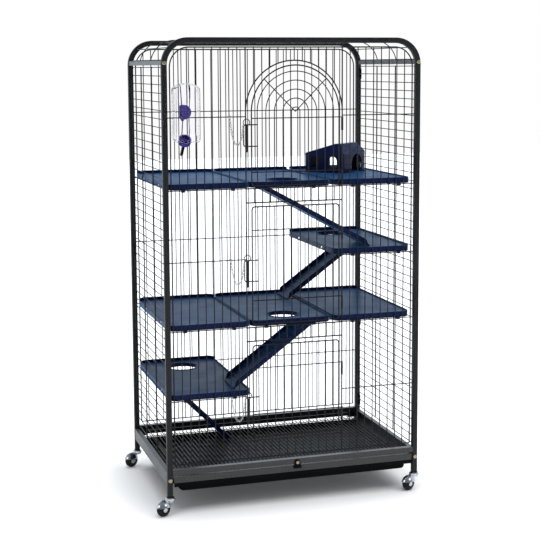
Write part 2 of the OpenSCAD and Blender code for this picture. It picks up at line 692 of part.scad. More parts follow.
// A chain of rings along a hanging curve, from an anchor ring on the panel to a last ring that goes
// round the pin's own. The number of steps is odd, so that the links at both ends lie crosswise to
// what they hang on.
hook_turn = 45;
hook_out = 1.1;
hang_x = 2.95;
hang_z = 4.75;
module latch_chain(anchor_z, latch_z) {
    anchor_x = column_x(chain_wire);
    eye_y = -post_y - 2.2;
    eye_z = anchor_z + wire_d / 2 + link_d;
    start_z = eye_z - link_r + link_d + 0.3;
    end_x = -open_x - ring_r * cos(hook_turn) - hang_x;
    end_z = latch_z + ring_rise - ring_r * sin(hook_turn) - hang_z;
    low = (start_z + end_z - chain_drop) / 2;
    s0 = -sqrt(pow(start_z - low + chain_a, 2) - chain_a * chain_a);
    s1 = sqrt(pow(end_z - low + chain_a, 2) - chain_a * chain_a);
    steps = 2 * ceil((s1 - s0) / chain_pitch / 2 - 0.5) + 1;
    low_x = anchor_x - chain_a * asinh(s0 / chain_a);
    stretch = (end_x - anchor_x) / (chain_a * (asinh(s1 / chain_a) - asinh(s0 / chain_a)));
    start_y = eye_y - eye_r;
    translate([anchor_x, eye_y, eye_z]) link(eye_r, link_d);
    translate([-open_x - (ring_r + hook_out) * cos(hook_turn), pin_y,
        latch_z + ring_rise - (ring_r + hook_out) * sin(hook_turn)])
        rotate([0, -hook_turn, 0]) link(link_r, link_d);
    for (k = [0:steps]) {
        s = s0 + k * (s1 - s0) / steps;
        x = anchor_x + (low_x + chain_a * asinh(s / chain_a) - anchor_x) * stretch;
        y = start_y + (pin_y - start_y) * k / steps - 3 * sin(180 * k / steps);
        lean = atan2(s, chain_a * stretch);
        translate([x, y, low + sqrt(chain_a * chain_a + s * s) - chain_a])
            rotate([0, -lean, 0]) rotate([(k % 2) * 90, 0, 0]) link(link_r, link_d);
    }
}
module latch_chain_top() place() color(chrome) latch_chain(level_5, latch_top_z);
module latch_chain_middle() place() color(chrome) latch_chain(level_3, latch_middle_z);
module latch_chain_lower() place() color(chrome) latch_chain(level_1, latch_low_z);

// ---------------------------------------------------------------- shelves

corner_steps = 6;
module shelf_plan(inset) polygon(box_points(-shelf_w / 2 + inset, shelf_w / 2 - inset,
    -shelf_d / 2 + inset, shelf_d / 2 - inset, shelf_corner_r - inset, corner_steps));

tab_x = 75;
tab_w = 12;
// The arms and tabs of a shelf stand in the middle of the gap that is nearest to their place
function tab_place(x, s) = (floor((x + s * tab_x) / pitch) + 0.5) * pitch - x;
window_w = 16;
collar_drop = 8;
// hole_side is -1 for a hole near the front, 1 near the back, 0 for none.
// pivot_side is the side of the shelf, in X, that carries the ramp's pivot.
module shelf(x, level, hole_side, pivot_side) {
    foot_z = level + shelf_rest;
    deck_z = shelf_deck(level) - deck_t;
    hole_y = hole_side * hole_off;
    translate([x, shelf_mid_y, 0]) difference() {
        union() {
            difference() {
                translate([0, 0, foot_z]) linear_extrude(skirt_h) shelf_plan(0);
                translate([0, 0, foot_z - 1]) linear_extrude(deck_z - foot_z + 1)
                    shelf_plan(shelf_wall);
                translate([0, 0, deck_z + deck_t]) linear_extrude(rim_h + 1) shelf_plan(shelf_wall);
            }
            // The rear edge stands higher and carries two arms over the back panel's wire
            translate([0, 0, deck_z]) linear_extrude(deck_t + rim_h + rear_rise) difference() {
                shelf_plan(0);
                shelf_plan(shelf_wall);
                translate([-shelf_w, -shelf_d]) square([2 * shelf_w, 1.5 * shelf_d - shelf_corner_r]);
            }
            for (s = [-1, 1]) {
                arm_l = post_y - layer + 4 - shelf_mid_y - shelf_d / 2;
                translate([tab_place(x, s) - tab_w / 2, shelf_d / 2 - 1, foot_z])
                    cube([tab_w, arm_l + 1, 5]);
                translate([tab_place(x, s) - tab_w / 2, -shelf_d / 2 + shelf_wall - 0.5, foot_z - 7])
                    cube([tab_w, shelf_wall, 9]);
            }
            for (k = [-1:1]) translate([-shelf_w / 2 + 1, -hole_side * 75 + k * 65 - 1, deck_z - 7])
                cube([shelf_w - 2, 2, 8]);
            if (hole_side != 0) {
                translate([0, hole_y, deck_z - collar_drop])
                    cylinder(h = collar_drop + deck_t + 1.5, d = hole_d + 6, $fn = 96);
                for (s = [-1, 1])
                    translate([pivot_side * ramp_pivot_off, hole_y + s * (ramp_w / 2 + 3), deck_z])
                        ramp_lug();
            }
        }
        if (hole_side != 0) translate([0, hole_y, deck_z - 20])
            cylinder(h = 40, d = hole_d, $fn = 96);
        for (sx = [-1, 1], sy = [-1, 1])
            translate([sx * shelf_w / 2 - 5, sy * 110 - window_w / 2, foot_z + 5])
                cube([10, window_w, 5]);
    }
}
module ramp_lug() {
    drop = pivot_drop - deck_t;
    difference() {
        translate([-6, -2, -drop - 6]) cube([12, 4, drop + 7]);
        translate([0, -3, -drop]) rotate([-90, 0, 0])
            cylinder(h = 6, d = ramp_pin_d + 2 * bearing_fit, $fn = 36);
    }
}
module shelf_top_left() place() color(navy) shelf(shelf_left_x, level_4, 0, 0);
module shelf_top_centre() place() color(navy) shelf(shelf_centre_x, level_4, -1, -1);
module shelf_top_right() place() color(navy) shelf(shelf_right_x, level_4, 0, 0);
module shelf_upper_right() place() color(navy) shelf(shelf_right_x, level_3, 1, 1);
module shelf_middle_left() place() color(navy) shelf(shelf_left_x, level_2, 0, 0);
module shelf_middle_centre() place() color(navy) shelf(shelf_centre_x, level_2, -1, 1);
module shelf_middle_right() place() color(navy) shelf(shelf_right_x, level_2, 0, 0);
module shelf_lower_left() place() color(navy) shelf(shelf_left_x, level_1, 1, -1);

// ---------------------------------------------------------------- ramps

ramp_t = 3;
rung_h = 2;
// A ribbed board with side walls, from its pivot under a shelf down to its foot
module ramp(x, level, hole_side, pivot_side, foot_x, foot_on) {
    pivot_x = x + pivot_side * ramp_pivot_off;
    pivot_z = shelf_deck(level) - pivot_drop;
    foot_z = foot_on + ramp_foot_gap + ramp_foot_r;
    run = abs(foot_x - pivot_x);
    slope = atan((pivot_z - foot_z) / run);
    length = sqrt(run * run + pow(pivot_z - foot_z, 2));
    heading = foot_x > pivot_x ? 0 : 180;
    rungs = floor((length - 40) / rung_pitch);
    translate([pivot_x, shelf_mid_y + hole_side * hole_off, pivot_z]) rotate([0, 0, heading])
        rotate([0, slope, 0]) {
            translate([0, -ramp_w / 2, -ramp_t / 2]) cube([length, ramp_w, ramp_t]);
            for (s = [0, 1]) translate([0, -ramp_w / 2 + s * (ramp_w - ramp_t), 0])
                rotate([90, 0, 0]) translate([0, 0, -ramp_t]) linear_extrude(ramp_t)
                    polygon([[10, -ramp_t / 2], [24, ramp_wall_h - ramp_t / 2],
                        [length - 16, ramp_wall_h - ramp_t / 2], [length - 2, 0],
                        [length - 2, -ramp_t / 2]]);
            for (k = [0:rungs]) translate([26 + k * rung_pitch, -ramp_w / 2 + 1, ramp_t / 2 - 0.5])
                cube([4, ramp_w - 2, rung_h + 0.5]);
            translate([length, ramp_w / 2, 0]) rotate([90, 0, 0])
                cylinder(h = ramp_w, r = ramp_foot_r, $fn = 36);
            translate([0, ramp_w / 2, 0]) rotate([90, 0, 0])
                cylinder(h = ramp_w, r = 5, $fn = 36);
            translate([0, ramp_w / 2 + 6, 0]) rotate([90, 0, 0])
                cylinder(h = ramp_w + 12, d = ramp_pin_d, $fn = 36);
        }
}
module ramp_top() place() color(navy)
    ramp(shelf_centre_x, level_4, -1, -1, top_foot_x, shelf_deck(level_3));
module ramp_upper() place() color(navy)
    ramp(shelf_right_x, level_3, 1, 1, upper_foot_x, shelf_deck(level_2));
module ramp_middle() place() color(navy)
    ramp(shelf_centre_x, level_2, -1, 1, middle_foot_x, shelf_deck(level_1));
module ramp_lower() place() color(navy)
    ramp(shelf_left_x, level_1, 1, -1, lower_foot_x, long_wire_z + grille_wire_d / 2);

// ---------------------------------------------------------------- hut

// The hut is square and stands turned; its own X and Y run along its front and left walls
hut_wall_h = 59;
hut_corner_r = 9;
hut_eave = 20;
hut_flat = 40;
module hut_place() translate([shelf_right_x, hut_y, hut_floor_z]) rotate(hut_turn)
    translate([-hut_w / 2, -hut_w / 2, 0]) children();
// A wall's drawing: upright sides and a roof that rises over near and far to a flat top
module hut_profile(near, far, inset) polygon([[inset, -2], [inset, hut_wall_h - inset / 2],
    [near, hut_h - inset], [hut_w - far, hut_h - inset], [hut_w - inset, hut_wall_h - inset / 2],
    [hut_w - inset, -2]]);
module hut_body(inset) intersection() {
    translate([0, 0, inset > 0 ? -1 : 0]) linear_extrude(hut_h + 1)
        polygon(box_points(inset, hut_w - inset, inset, hut_w - inset, hut_corner_r - inset, 4));
    upright(-1, hut_w + 1) hut_profile(hut_eave, hut_eave, inset);
    lengthways(-1, hut_w + 1) hut_profile(hut_eave, hut_w - hut_flat, inset);
}
module arched(w, h) {
    translate([-w / 2, 0]) square([w, h - w / 2]);
    translate([0, h - w / 2]) circle(d = w, $fn = 48);
}
module hideaway() place() color(navy) hut_place() difference() {
    union() {
        hut_body(0);
        linear_extrude(2.4) polygon(box_points(-5, hut_w + 5, -5, hut_w + 5, 12, 4));
    }
    hut_body(hut_wall);
    // Doorway in the front wall, windows in the left one, tall openings in the right one
    translate([86, 0, 7]) upright(-10, 10) arched(62, 50);
    translate([0, 38, 15]) lengthways(-10, 10) arched(30, 36);
    translate([0, 104, 15]) lengthways(-10, 10) arched(30, 36);
    translate([hut_w, 24, 7]) lengthways(-10, 10) arched(16, 43);
    translate([hut_w, 118, 7]) lengthways(-10, 10) arched(34, 43);
}

// ---------------------------------------------------------------- floor grille and tray

grille_columns = floor(half_mesh / grille_pitch);
grille_back_y = post_y - 4;
grille_half = inner_x - 3.5;
pull_w = 72;
module grille_front_bar() difference() {
    union() {
        translate([-grille_half, bar_face_y, grille_bar_z])
            cube([2 * grille_half, bar_t, grille_bar_h]);
        translate([-grille_half, bar_face_y, grille_bar_z + grille_bar_h - bar_t])
            cube([2 * grille_half, 9, bar_t]);
    }
    translate([-pull_w / 2, bar_face_y - 1, grille_bar_z + 6]) cube([pull_w, 1.8, 8]);
}
module floor_grille() place() color(wire_grey) {
    grille_front_bar();
    for (i = [-grille_columns:grille_columns])
        wire_y(i * grille_pitch, bar_face_y + bar_t - 0.2, grille_back_y, long_wire_z,
            grille_wire_d);
    for (y = [-inner_y + 12, -inner_y / 3, inner_y / 3, inner_y - 12])
        wire_x(-grille_half + 1, grille_half - 1, y, cross_wire_z, grille_wire_d);
}

tray_body_half = ledge_x - 6;
tray_lip_h = 11.5;
tray_front_y = -post_y;
tray_back_y = inner_y - 4;
module tray_shape(inset) {
    bottom = tray_z + inset;
    intersection() {
        translate([0, 0, bottom]) linear_extrude(tray_top_z - bottom + inset)
            polygon(box_points(-tray_body_half + inset, tray_body_half - inset,
                tray_front_y + inset, tray_back_y - inset, 22 - inset, corner_steps));
        upright(tray_front_y - 1, tray_back_y + 1) polygon(concat([[tray_body_half, tray_top_z + 9],
            [-tray_body_half, tray_top_z + 9]],
            arc(-tray_body_half + 16, bottom + 16 - inset, 16 - inset, 180, 270, corner_steps),
            arc(tray_body_half - 16, bottom + 16 - inset, 16 - inset, 270, 360, corner_steps)));
    }
}
module waste_tray() place() color(black_plastic) difference() {
    union() {
        tray_shape(0);
        translate([-grille_half, bar_face_y, tray_top_z - tray_wall])
            cube([2 * grille_half, tray_back_y - bar_face_y, tray_wall]);
        translate([-grille_half, bar_face_y, tray_top_z - tray_lip_h])
            cube([2 * grille_half, tray_wall, tray_lip_h]);
    }
    tray_shape(tray_wall);
}

module turn_button() place() color(black_plastic) difference() {
    upright(-post_y - tube / 2 - button_t - 1, -post_y - tube / 2 - 1)
        polygon(concat(arc(button_x, button_z, 8, 0, 180, 12),
            [[button_x - 9, button_z - 4], [button_x - 13, button_z - 15],
            [button_x - 11.5, button_z - 18], [button_x + 11.5, button_z - 18],
            [button_x + 13, button_z - 15], [button_x + 9, button_z - 4]]));
    translate([button_x, -post_y, button_z]) rotate([90, 0, 0])
        cylinder(h = 40, d = button_screw_d, $fn = round_sides);
}

// ---------------------------------------------------------------- casters

face_gap = 0.5;
hub_t = 1.6;
hub_r = 7;
cheek_y = wheel_w / 2 + 1.2;
cheek_t = 2.2;
face_turn = 50;
// A flattened ball round the axle
module oval_body(r, bulge) rotate([90, 0, 0]) rotate_extrude($fn = 72)
    polygon([for (a = [-90:7.5:90]) [r * cos(a), bulge * sin(a)]]);
// The hood's shell over the upper part of the wheel
module hood() difference() {
    oval_body(hood_r, hood_bulge);
    translate([-40, -40, -40 + hood_cut]) cube([80, 80, 40]);
}
module caster_place(x, y) place() translate([x, y, 0]) rotate(caster_turn) children();
module caster_fork(x, y) caster_place(x, y) color(chrome) {
    difference() {
        union() {
            translate([-trail, 0, axle_z]) hood();
            rotate_extrude($fn = 64) polygon([[0, leg_z - 2.4], [12, leg_z - 2.4],
                [14.5, leg_z - 5], [head_r, leg_z - 9], [12, leg_z - 15], [0, leg_z - 15]]);
            translate([4 - trail, -8, axle_z + hood_r - 8]) cube([trail, 16, 7]);
        }
        translate([-trail, 0, axle_z]) oval_body(hood_r - hood_t, hood_bulge - hood_t);
    }
    // A cheek behind the wheel carries the axle, and the axle's head covers the wheel's hub
    translate([-trail, 0, axle_z]) {
        intersection() {
            oval_body(hood_r, hood_bulge);
            upright(cheek_y, cheek_y + cheek_t) {
                circle(r = 8, $fn = 48);
                translate([-8, 0]) square([16, 20]);
            }
        }
        translate([0, cheek_y + 1, 0]) rotate([90, 0, 0])
            cylinder(h = cheek_y + 1 + wheel_w / 2 + face_gap + 0.5, d = axle_d, $fn = 36);
        translate([0, -wheel_w / 2 - face_gap, 0]) rotate([90, 0, 0]) rotate_extrude($fn = 48)
            polygon([[0, 0], [hub_r, 0], [hub_r, 0.6], [hub_r - 1.5, hub_t], [0, hub_t]]);
    }
    translate([0, 0, leg_z - 4]) cylinder(h = 30, d = stem_d, $fn = 36);
}
// A wheel with a rounded tread; face_turn is where the oval gives way to the flat faces
module caster_wheel(x, y) caster_place(x, y) translate([-trail, 0, axle_z]) color(black_plastic)
    rotate([90, 0, 0]) difference() {
        bulge = wheel_w / 2 / sin(face_turn);
        tread = [for (a = [-face_turn:face_turn / 8:face_turn]) [wheel_d / 2 * cos(a), bulge * sin(a)]];
        rotate_extrude($fn = 96)
            polygon(concat([[0, -wheel_w / 2]], tread, [[0, wheel_w / 2]]));
        translate([0, 0, -wheel_w]) cylinder(h = 2 * wheel_w, d = axle_d + 2 * bearing_fit, $fn = 36);
    }
module caster_fork_front_left() caster_fork(-post_x, -post_y);
module caster_fork_front_right() caster_fork(post_x, -post_y);
module caster_fork_rear_left() caster_fork(-post_x, post_y);
module caster_fork_rear_right() caster_fork(post_x, post_y);
module caster_wheel_front_left() caster_wheel(-post_x, -post_y);
module caster_wheel_front_right() caster_wheel(post_x, -post_y);
module caster_wheel_rear_left() caster_wheel(-post_x, post_y);
module caster_wheel_rear_right() caster_wheel(post_x, post_y);

// ---------------------------------------------------------------- bottle

neck_d = cap_d - 8;
cap_start = 3;
cap_h = 14;
tube_start = 15.5;
tube_l = 54;
tube_bore = 6.5;
neck_y = bottle_back_y - 13;
neck_z = bottle_z + 10;
// Places children with their Z axis along the neck, which points down into the cage
module along_neck() translate([bottle_x, neck_y, neck_z]) rotate([180 + cap_tilt, 0, 0]) children();

module bottle_front(inset) polygon(concat(
    arc(0, bottle_z + bottle_h - 52, 52 - inset, 46, 134, 10),
    [[-bottle_w / 2 + inset, bottle_z + bottle_h - 30]],
    arc(-bottle_w / 2 + 12, bottle_z + 12, 12 - inset, 180, 270, 4),
    arc(bottle_w / 2 - 12, bottle_z + 12, 12 - inset, 270, 360, 4),
    [[bottle_w / 2 - inset, bottle_z + bottle_h - 30]]));
module bottle_plan(inset) polygon(box_points(-bottle_w / 2 + inset, bottle_w / 2 - inset,
    bottle_back_y - bottle_depth + inset, bottle_back_y - inset, 14 - inset, corner_steps));
// The back's lower edge is cut off square to the neck
module bottle_side(inset) {
    leg = bottle_back_y - neck_y + neck_z - bottle_z - (2 - sqrt(2)) * inset;
    back = bottle_back_y - inset;
    low = bottle_z + inset;
    front = bottle_back_y - bottle_depth - 1;
    top = bottle_z + bottle_h + 1;
    polygon([[front, low], [back - leg, low], [back, low + leg], [back, top], [front, top]]);
}
module bottle_shape(inset) translate([bottle_x, 0, 0]) intersection() {
    translate([0, 0, bottle_z - 1]) linear_extrude(bottle_h + 2) bottle_plan(inset);
    upright(bottle_back_y - bottle_depth - 1, bottle_back_y + 1) bottle_front(inset);
    lengthways(-bottle_w, bottle_w) bottle_side(inset);
}
tongue_w = 14;
module bottle_body() place() color([0.9, 0.94, 0.98, 0.4]) difference() {
    union() {
        bottle_shape(0);
        along_neck() translate([0, 0, -2]) cylinder(h = 16, d = neck_d, $fn = 48);
        translate([bottle_x - tongue_w / 2 - 4, bottle_back_y - 1, clip_z - 14])
            cube([tongue_w + 8, 5, 40]);
    }
    bottle_shape(bottle_wall);
    along_neck() translate([0, 0, -6]) cylinder(h = 40, d = neck_d - 4, $fn = 48);
    translate([bottle_x - tongue_w / 2 - 0.3, bottle_back_y + 1, clip_z - 15])
        cube([tongue_w + 0.6, 2, 27.3]);
    translate([bottle_x - tongue_w / 2 + 2, bottle_back_y + 1, clip_z - 15])
        cube([tongue_w - 4, 5, 27.3]);
}
module bottle_cap() place() color(violet) along_neck() difference() {
    union() {
        translate([0, 0, cap_start]) cylinder(h = cap_h, d = cap_d, $fn = 64);
        translate([0, 0, cap_start + cap_h]) rotate_extrude($fn = 64)
            polygon([[0, 0], [cap_d / 2, 0], [cap_d / 2 - 4, 3], [8, 5], [0, 5]]);
    }
    translate([0, 0, cap_start - 1]) cylinder(h = 12.5, d = neck_d + 0.2, $fn = 48);
    translate([0, 0, 0]) cylinder(h = 60, d = sipper_d + 0.2, $fn = 36);
}
module sipper_tube() place() color(black_plastic) along_neck() difference() {
    translate([0, 0, tube_start]) cylinder(h = tube_l, d = sipper_d, $fn = 36);
    translate([0, 0, tube_start - 1]) cylinder(h = tube_l + 2, d = tube_bore, $fn = 36);
}
clip_half = 21;
// The holder: a D-shaped plate on the panel's wires, with a tongue that the bottle slides on
module bottle_clip() place() color(violet) {
    front = bottle_back_y + 4.6;
    translate([bottle_x + 5, 0, 0]) upright(front, -post_y - wire_d / 2 - 0.3)
        polygon(concat([[-16, clip_z - clip_half + 4], [-16, clip_z + clip_half - 4]],
            [[-12, clip_z + clip_half]], arc(-3, clip_z, clip_half, 90, -90, 14),
            [[-12, clip_z - clip_half]]));
    translate([bottle_x - 4, 0, 0]) upright(-post_y - wire_d / 2 - 0.5, -post_y + 8)
        translate([0, level_5 + wire_d / 2 + 0.3]) square([8, 9]);
    translate([bottle_x - 4, 0, 0]) upright(-post_y + layer + wire_d / 2 + 0.4, -post_y + 8)
        translate([0, level_5 - 9]) square([8, 12]);
    translate([bottle_x - tongue_w / 2 + 2.4, bottle_back_y + 2.6, clip_z - 12])
        cube([tongue_w - 4.8, 4, 24]);
    translate([bottle_x - tongue_w / 2, bottle_back_y + 1.3, clip_z - 12])
        cube([tongue_w, 1.4, 24]);
}

front_frame();
rear_frame();
top_rails();
left_runner();
right_runner();
front_crossbar();
rear_crossbar();
frame_screws();
panel_hooks();
leg_plugs();
front_panel_left();
front_panel_right();
front_panel_header();
front_panel_bridges();
back_panel();
left_panel();
right_panel();
roof_panel();
top_door();
middle_door();
lower_door();
top_door_clips();
middle_door_clips();
lower_door_clips();
latch_barrels();
latch_pin_top();
latch_pin_middle();
latch_pin_lower();
latch_chain_top();
latch_chain_middle();
latch_chain_lower();
shelf_top_left();
shelf_top_centre();
shelf_top_right();
shelf_upper_right();
shelf_middle_left();
shelf_middle_centre();
shelf_middle_right();
shelf_lower_left();
ramp_top();
ramp_upper();
ramp_middle();
ramp_lower();
hideaway();
floor_grille();
waste_tray();
turn_button();
caster_fork_front_left();
caster_fork_front_right();
caster_fork_rear_left();
caster_fork_rear_right();
caster_wheel_front_left();
caster_wheel_front_right();
caster_wheel_rear_left();
caster_wheel_rear_right();
bottle_body();
bottle_cap();
sipper_tube();
bottle_clip();
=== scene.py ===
# %% [markdown]
# # Dressing a tall ferret cage
# The cage is a bent tube frame on casters, filled with welded wire panels, and furnished with
# plastic shelves, ramps, a hut and a bottle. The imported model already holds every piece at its
# real size. This lesson gives each piece its look: round wires in place of eight-sided ones,
# rounded edges on sheet and plastic, and a finish for every material.
# Everything is in metres, with X along the front, Y from front to back and Z up.

# %% Load the model that is being dressed
import json
import math

import bmesh
import bpy
import numpy as np
from mathutils import Matrix, Vector

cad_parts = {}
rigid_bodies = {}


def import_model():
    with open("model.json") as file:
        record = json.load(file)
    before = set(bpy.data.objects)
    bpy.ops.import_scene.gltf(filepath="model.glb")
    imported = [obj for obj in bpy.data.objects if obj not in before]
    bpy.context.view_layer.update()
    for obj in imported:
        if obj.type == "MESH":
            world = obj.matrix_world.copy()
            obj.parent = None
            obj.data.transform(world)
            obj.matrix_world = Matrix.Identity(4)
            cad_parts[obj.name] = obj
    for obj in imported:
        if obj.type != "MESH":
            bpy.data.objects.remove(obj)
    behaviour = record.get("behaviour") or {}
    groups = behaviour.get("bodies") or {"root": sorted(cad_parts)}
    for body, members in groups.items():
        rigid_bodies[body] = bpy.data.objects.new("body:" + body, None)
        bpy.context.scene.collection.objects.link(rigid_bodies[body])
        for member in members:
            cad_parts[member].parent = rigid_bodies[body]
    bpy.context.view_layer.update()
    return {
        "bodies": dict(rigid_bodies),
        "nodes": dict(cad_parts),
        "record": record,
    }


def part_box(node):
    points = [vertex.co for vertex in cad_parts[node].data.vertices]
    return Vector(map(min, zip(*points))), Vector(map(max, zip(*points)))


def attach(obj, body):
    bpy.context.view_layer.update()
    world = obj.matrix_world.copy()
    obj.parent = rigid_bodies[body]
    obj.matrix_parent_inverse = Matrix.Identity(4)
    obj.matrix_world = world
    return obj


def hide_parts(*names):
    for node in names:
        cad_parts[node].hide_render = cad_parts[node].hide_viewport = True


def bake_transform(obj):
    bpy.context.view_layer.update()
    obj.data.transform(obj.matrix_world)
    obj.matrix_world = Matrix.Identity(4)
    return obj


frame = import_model()

# %% [markdown]
# ## Camera
# The photograph looks at the cage's front from its left, from a little over three metres and
# slightly from above. A long lens keeps the posts nearly parallel. The camera's axes are worked
# out from its yaw, pitch and roll, because that is how a photographer would set up a tripod.

# %% Camera
CAMERA_PLACE = Vector((-1.1436, -3.7665, 1.301))
YAW, PITCH, ROLL = math.radians(16.98), math.radians(7.01), math.radians(-0.30)
SENSOR_MM, LENS_MM, SHIFT_UP = 36, 85.4, -0.0852

camera = bpy.data.objects.new("Camera", bpy.data.cameras.new("Camera"))
bpy.context.scene.collection.objects.link(camera)
bpy.context.scene.camera = camera
camera.data.sensor_width = SENSOR_MM
camera.data.lens = LENS_MM
camera.data.shift_y = SHIFT_UP
ahead = Vector((math.sin(YAW) * math.cos(PITCH), math.cos(YAW) * math.cos(PITCH), -math.sin(PITCH)))
level = Vector((math.cos(YAW), -math.sin(YAW), 0))
above = level.cross(ahead)
right = level * math.cos(ROLL) + above * math.sin(ROLL)
upward = above * math.cos(ROLL) - level * math.sin(ROLL)
bpy.context.scene.view_settings.view_transform = "Standard"
facing = Matrix((right, upward, -ahead)).transposed().to_4x4()
camera.matrix_world = Matrix.Translation(CAMERA_PLACE) @ facing
print("camera looks along", [round(v, 3) for v in ahead])

# %% [markdown]
# ## Nodes by name
# Every finish below is a small graph of shader nodes. One helper adds a node and fills in its
# sockets and settings by name, so that a graph reads like a list of what it is made of.

# %% Helpers for shader graphs
def add(tree, kind, **values):
    """A new node of that kind. A value goes into the input of its name, or else into the setting."""
    made = tree.nodes.new("ShaderNode" + kind)
    for key, value in values.items():
        name = key.replace("_", " ")
        found = [s for s in made.inputs if s.name == name]
        if not found:
            setattr(made, key, value)
        elif isinstance(value, bpy.types.NodeSocket):
            tree.links.new(value, found[0])
        else:
            found[0].default_value = value
    return made


def math_node(tree, operation, a, b=0.5):
    """The result of one sum on two numbers or sockets."""
    made = tree.nodes.new("ShaderNodeMath")
    made.operation = operation
    for socket, value in zip(made.inputs, (a, b)):
        if isinstance(value, bpy.types.NodeSocket):
            tree.links.new(value, socket)
        else:
            socket.default_value = value
    return made.outputs[0]


def fade(tree, value, low, high, from_low=0.0, from_high=1.0):
    """A value rescaled from one range to another, held at the ends."""
    made = add(tree, "MapRange", Value=value)
    ends = {"From Min": from_low, "From Max": from_high, "To Min": low, "To Max": high}
    for name, number in ends.items():
        made.inputs[name].default_value = number
    return made.outputs[0]


def blend_colours(tree, amount, first, second):
    """A colour between two others, by an amount from 0 to 1."""
    made = tree.nodes.new("ShaderNodeMix")
    made.data_type = "RGBA"
    for socket, value in zip((made.inputs[0], made.inputs[6], made.inputs[7]), (amount, first, second)):
        if isinstance(value, bpy.types.NodeSocket):
            tree.links.new(value, socket)
        else:
            socket.default_value = value
    return made.outputs[2]


def new_group(name, inputs, outputs):
    """An empty node group with named numbers as inputs and outputs, and its two end nodes."""
    tree = bpy.data.node_groups.new(name, "ShaderNodeTree")
    for label, value in inputs.items():
        socket = tree.interface.new_socket(label, in_out="INPUT", socket_type="NodeSocketFloat")
        socket.default_value = value
    for label in outputs:
        tree.interface.new_socket(label, in_out="OUTPUT", socket_type="NodeSocketFloat")
    return tree, tree.nodes.new("NodeGroupInput").outputs, tree.nodes.new("NodeGroupOutput").inputs


def place_group(tree, group, **values):
    """A node that holds a group in a material, with its own numbers."""
    made = tree.nodes.new("ShaderNodeGroup")
    made.node_tree = group
    for key, value in values.items():
        made.inputs[key.replace("_", " ")].default_value = value
    return made.outputs


def new_material(name):
    """A material's node tree and its shader."""
    material = bpy.data.materials.new(name)
    material.use_nodes = True
    return material, material.node_tree, material.node_tree.nodes["Principled BSDF"]


def bump(tree, shader, height, distance):
    """Small relief from a height between 0 and 1, as deep as distance, in metres."""
    made = add(tree, "Bump", Height=height, Strength=1.0, Distance=distance)
    tree.links.new(made.outputs[0], shader.inputs["Normal"])


# %% [markdown]
# ## Light and floor
# The photograph looks as if it was taken on a white table, with soft light overhead, a lit white
# wall behind the cage and a darker room behind the camera. So flat tops shine pale at a low angle,
# fronts stay dark, and the shadow is a soft pool under the tray, kept small by a painted glow of the
# floor away from the cage. The camera and clear plastic see white all round. Mirrors see that wall
# too, and dimmer walls and ceiling elsewhere, slightly blue.

# %% World
AMBIENT, WALL_HEIGHT, WALL_BLUR, ROOM_DARK, CEILING = 0.22, 0.55, 0.15, 0.10, 0.30
ROOM_TINT, WHITE = (0.82, 0.91, 1, 1), (1, 1, 1, 1)
world = bpy.context.scene.world or bpy.data.worlds.new("World")
bpy.context.scene.world = world
world.use_nodes = True
sky = world.node_tree
sky.nodes.clear()
heading = add(sky, "SeparateXYZ", Vector=add(sky, "TexCoord").outputs["Generated"]).outputs
wall = fade(sky, heading["Y"], ROOM_DARK, 1.0, -0.7, 0.0)
wall_edge = fade(sky, heading["Z"], 1.0, 0.0, WALL_HEIGHT, WALL_HEIGHT + WALL_BLUR)
wall = math_node(sky, "MULTIPLY", wall, wall_edge)
ceiling = fade(sky, heading["Z"], 0.0, CEILING, WALL_HEIGHT, WALL_HEIGHT + WALL_BLUR)
studio = math_node(sky, "ADD", wall, ceiling)
seen = add(sky, "LightPath").outputs
through = math_node(sky, "MAXIMUM", seen["Is Camera Ray"], seen["Is Transmission Ray"])
mirrored = math_node(sky, "MULTIPLY", seen["Is Glossy Ray"], studio)
strength = math_node(sky, "MAXIMUM", mirrored, AMBIENT)
strength = math_node(sky, "MAXIMUM", strength, through)
tint = blend_colours(sky, through, ROOM_TINT, WHITE)
light = add(sky, "Background", Color=tint, Strength=strength).outputs[0]
sky.links.new(light, add(sky, "OutputWorld").inputs["Surface"])


# %% Lamps
def place_lamp(lamp, place, target):
    """A lamp in the scene at its place, turned to face a point."""
    holder = bpy.data.objects.new(lamp.name, lamp)
    bpy.context.scene.collection.objects.link(holder)
    holder.location = place
    holder.rotation_euler = (Vector(target) - Vector(place)).to_track_quat("-Z", "Y").to_euler()
    return holder


def soft_box(name, place, target, size, power):
    """A square lamp with its side and power in metres and watts."""
    lamp = bpy.data.lights.new(name, "AREA")
    lamp.size = size
    lamp.energy = power
    place_lamp(lamp, place, target)


CAGE_FOOT, CAGE_MIDDLE = (0.02, 0.03, 0.0), (0.02, 0.03, 0.7)
BOX_SIDE = 1.8
# The lit ceiling is one wide sun. Mirrors see the world's own ceiling in its place.
lit_ceiling = bpy.data.lights.new("Lit ceiling", "SUN")
lit_ceiling.energy = 2.6
lit_ceiling.angle = math.radians(70)
place_lamp(lit_ceiling, (0.3, -0.3, 3.0), CAGE_FOOT).visible_glossy = False
soft_box("Left box", (-3.0, -2.2, 2.4), CAGE_MIDDLE, BOX_SIDE, 16)
soft_box("Right box", (3.0, -2.8, 2.2), CAGE_MIDDLE, BOX_SIDE, 14)

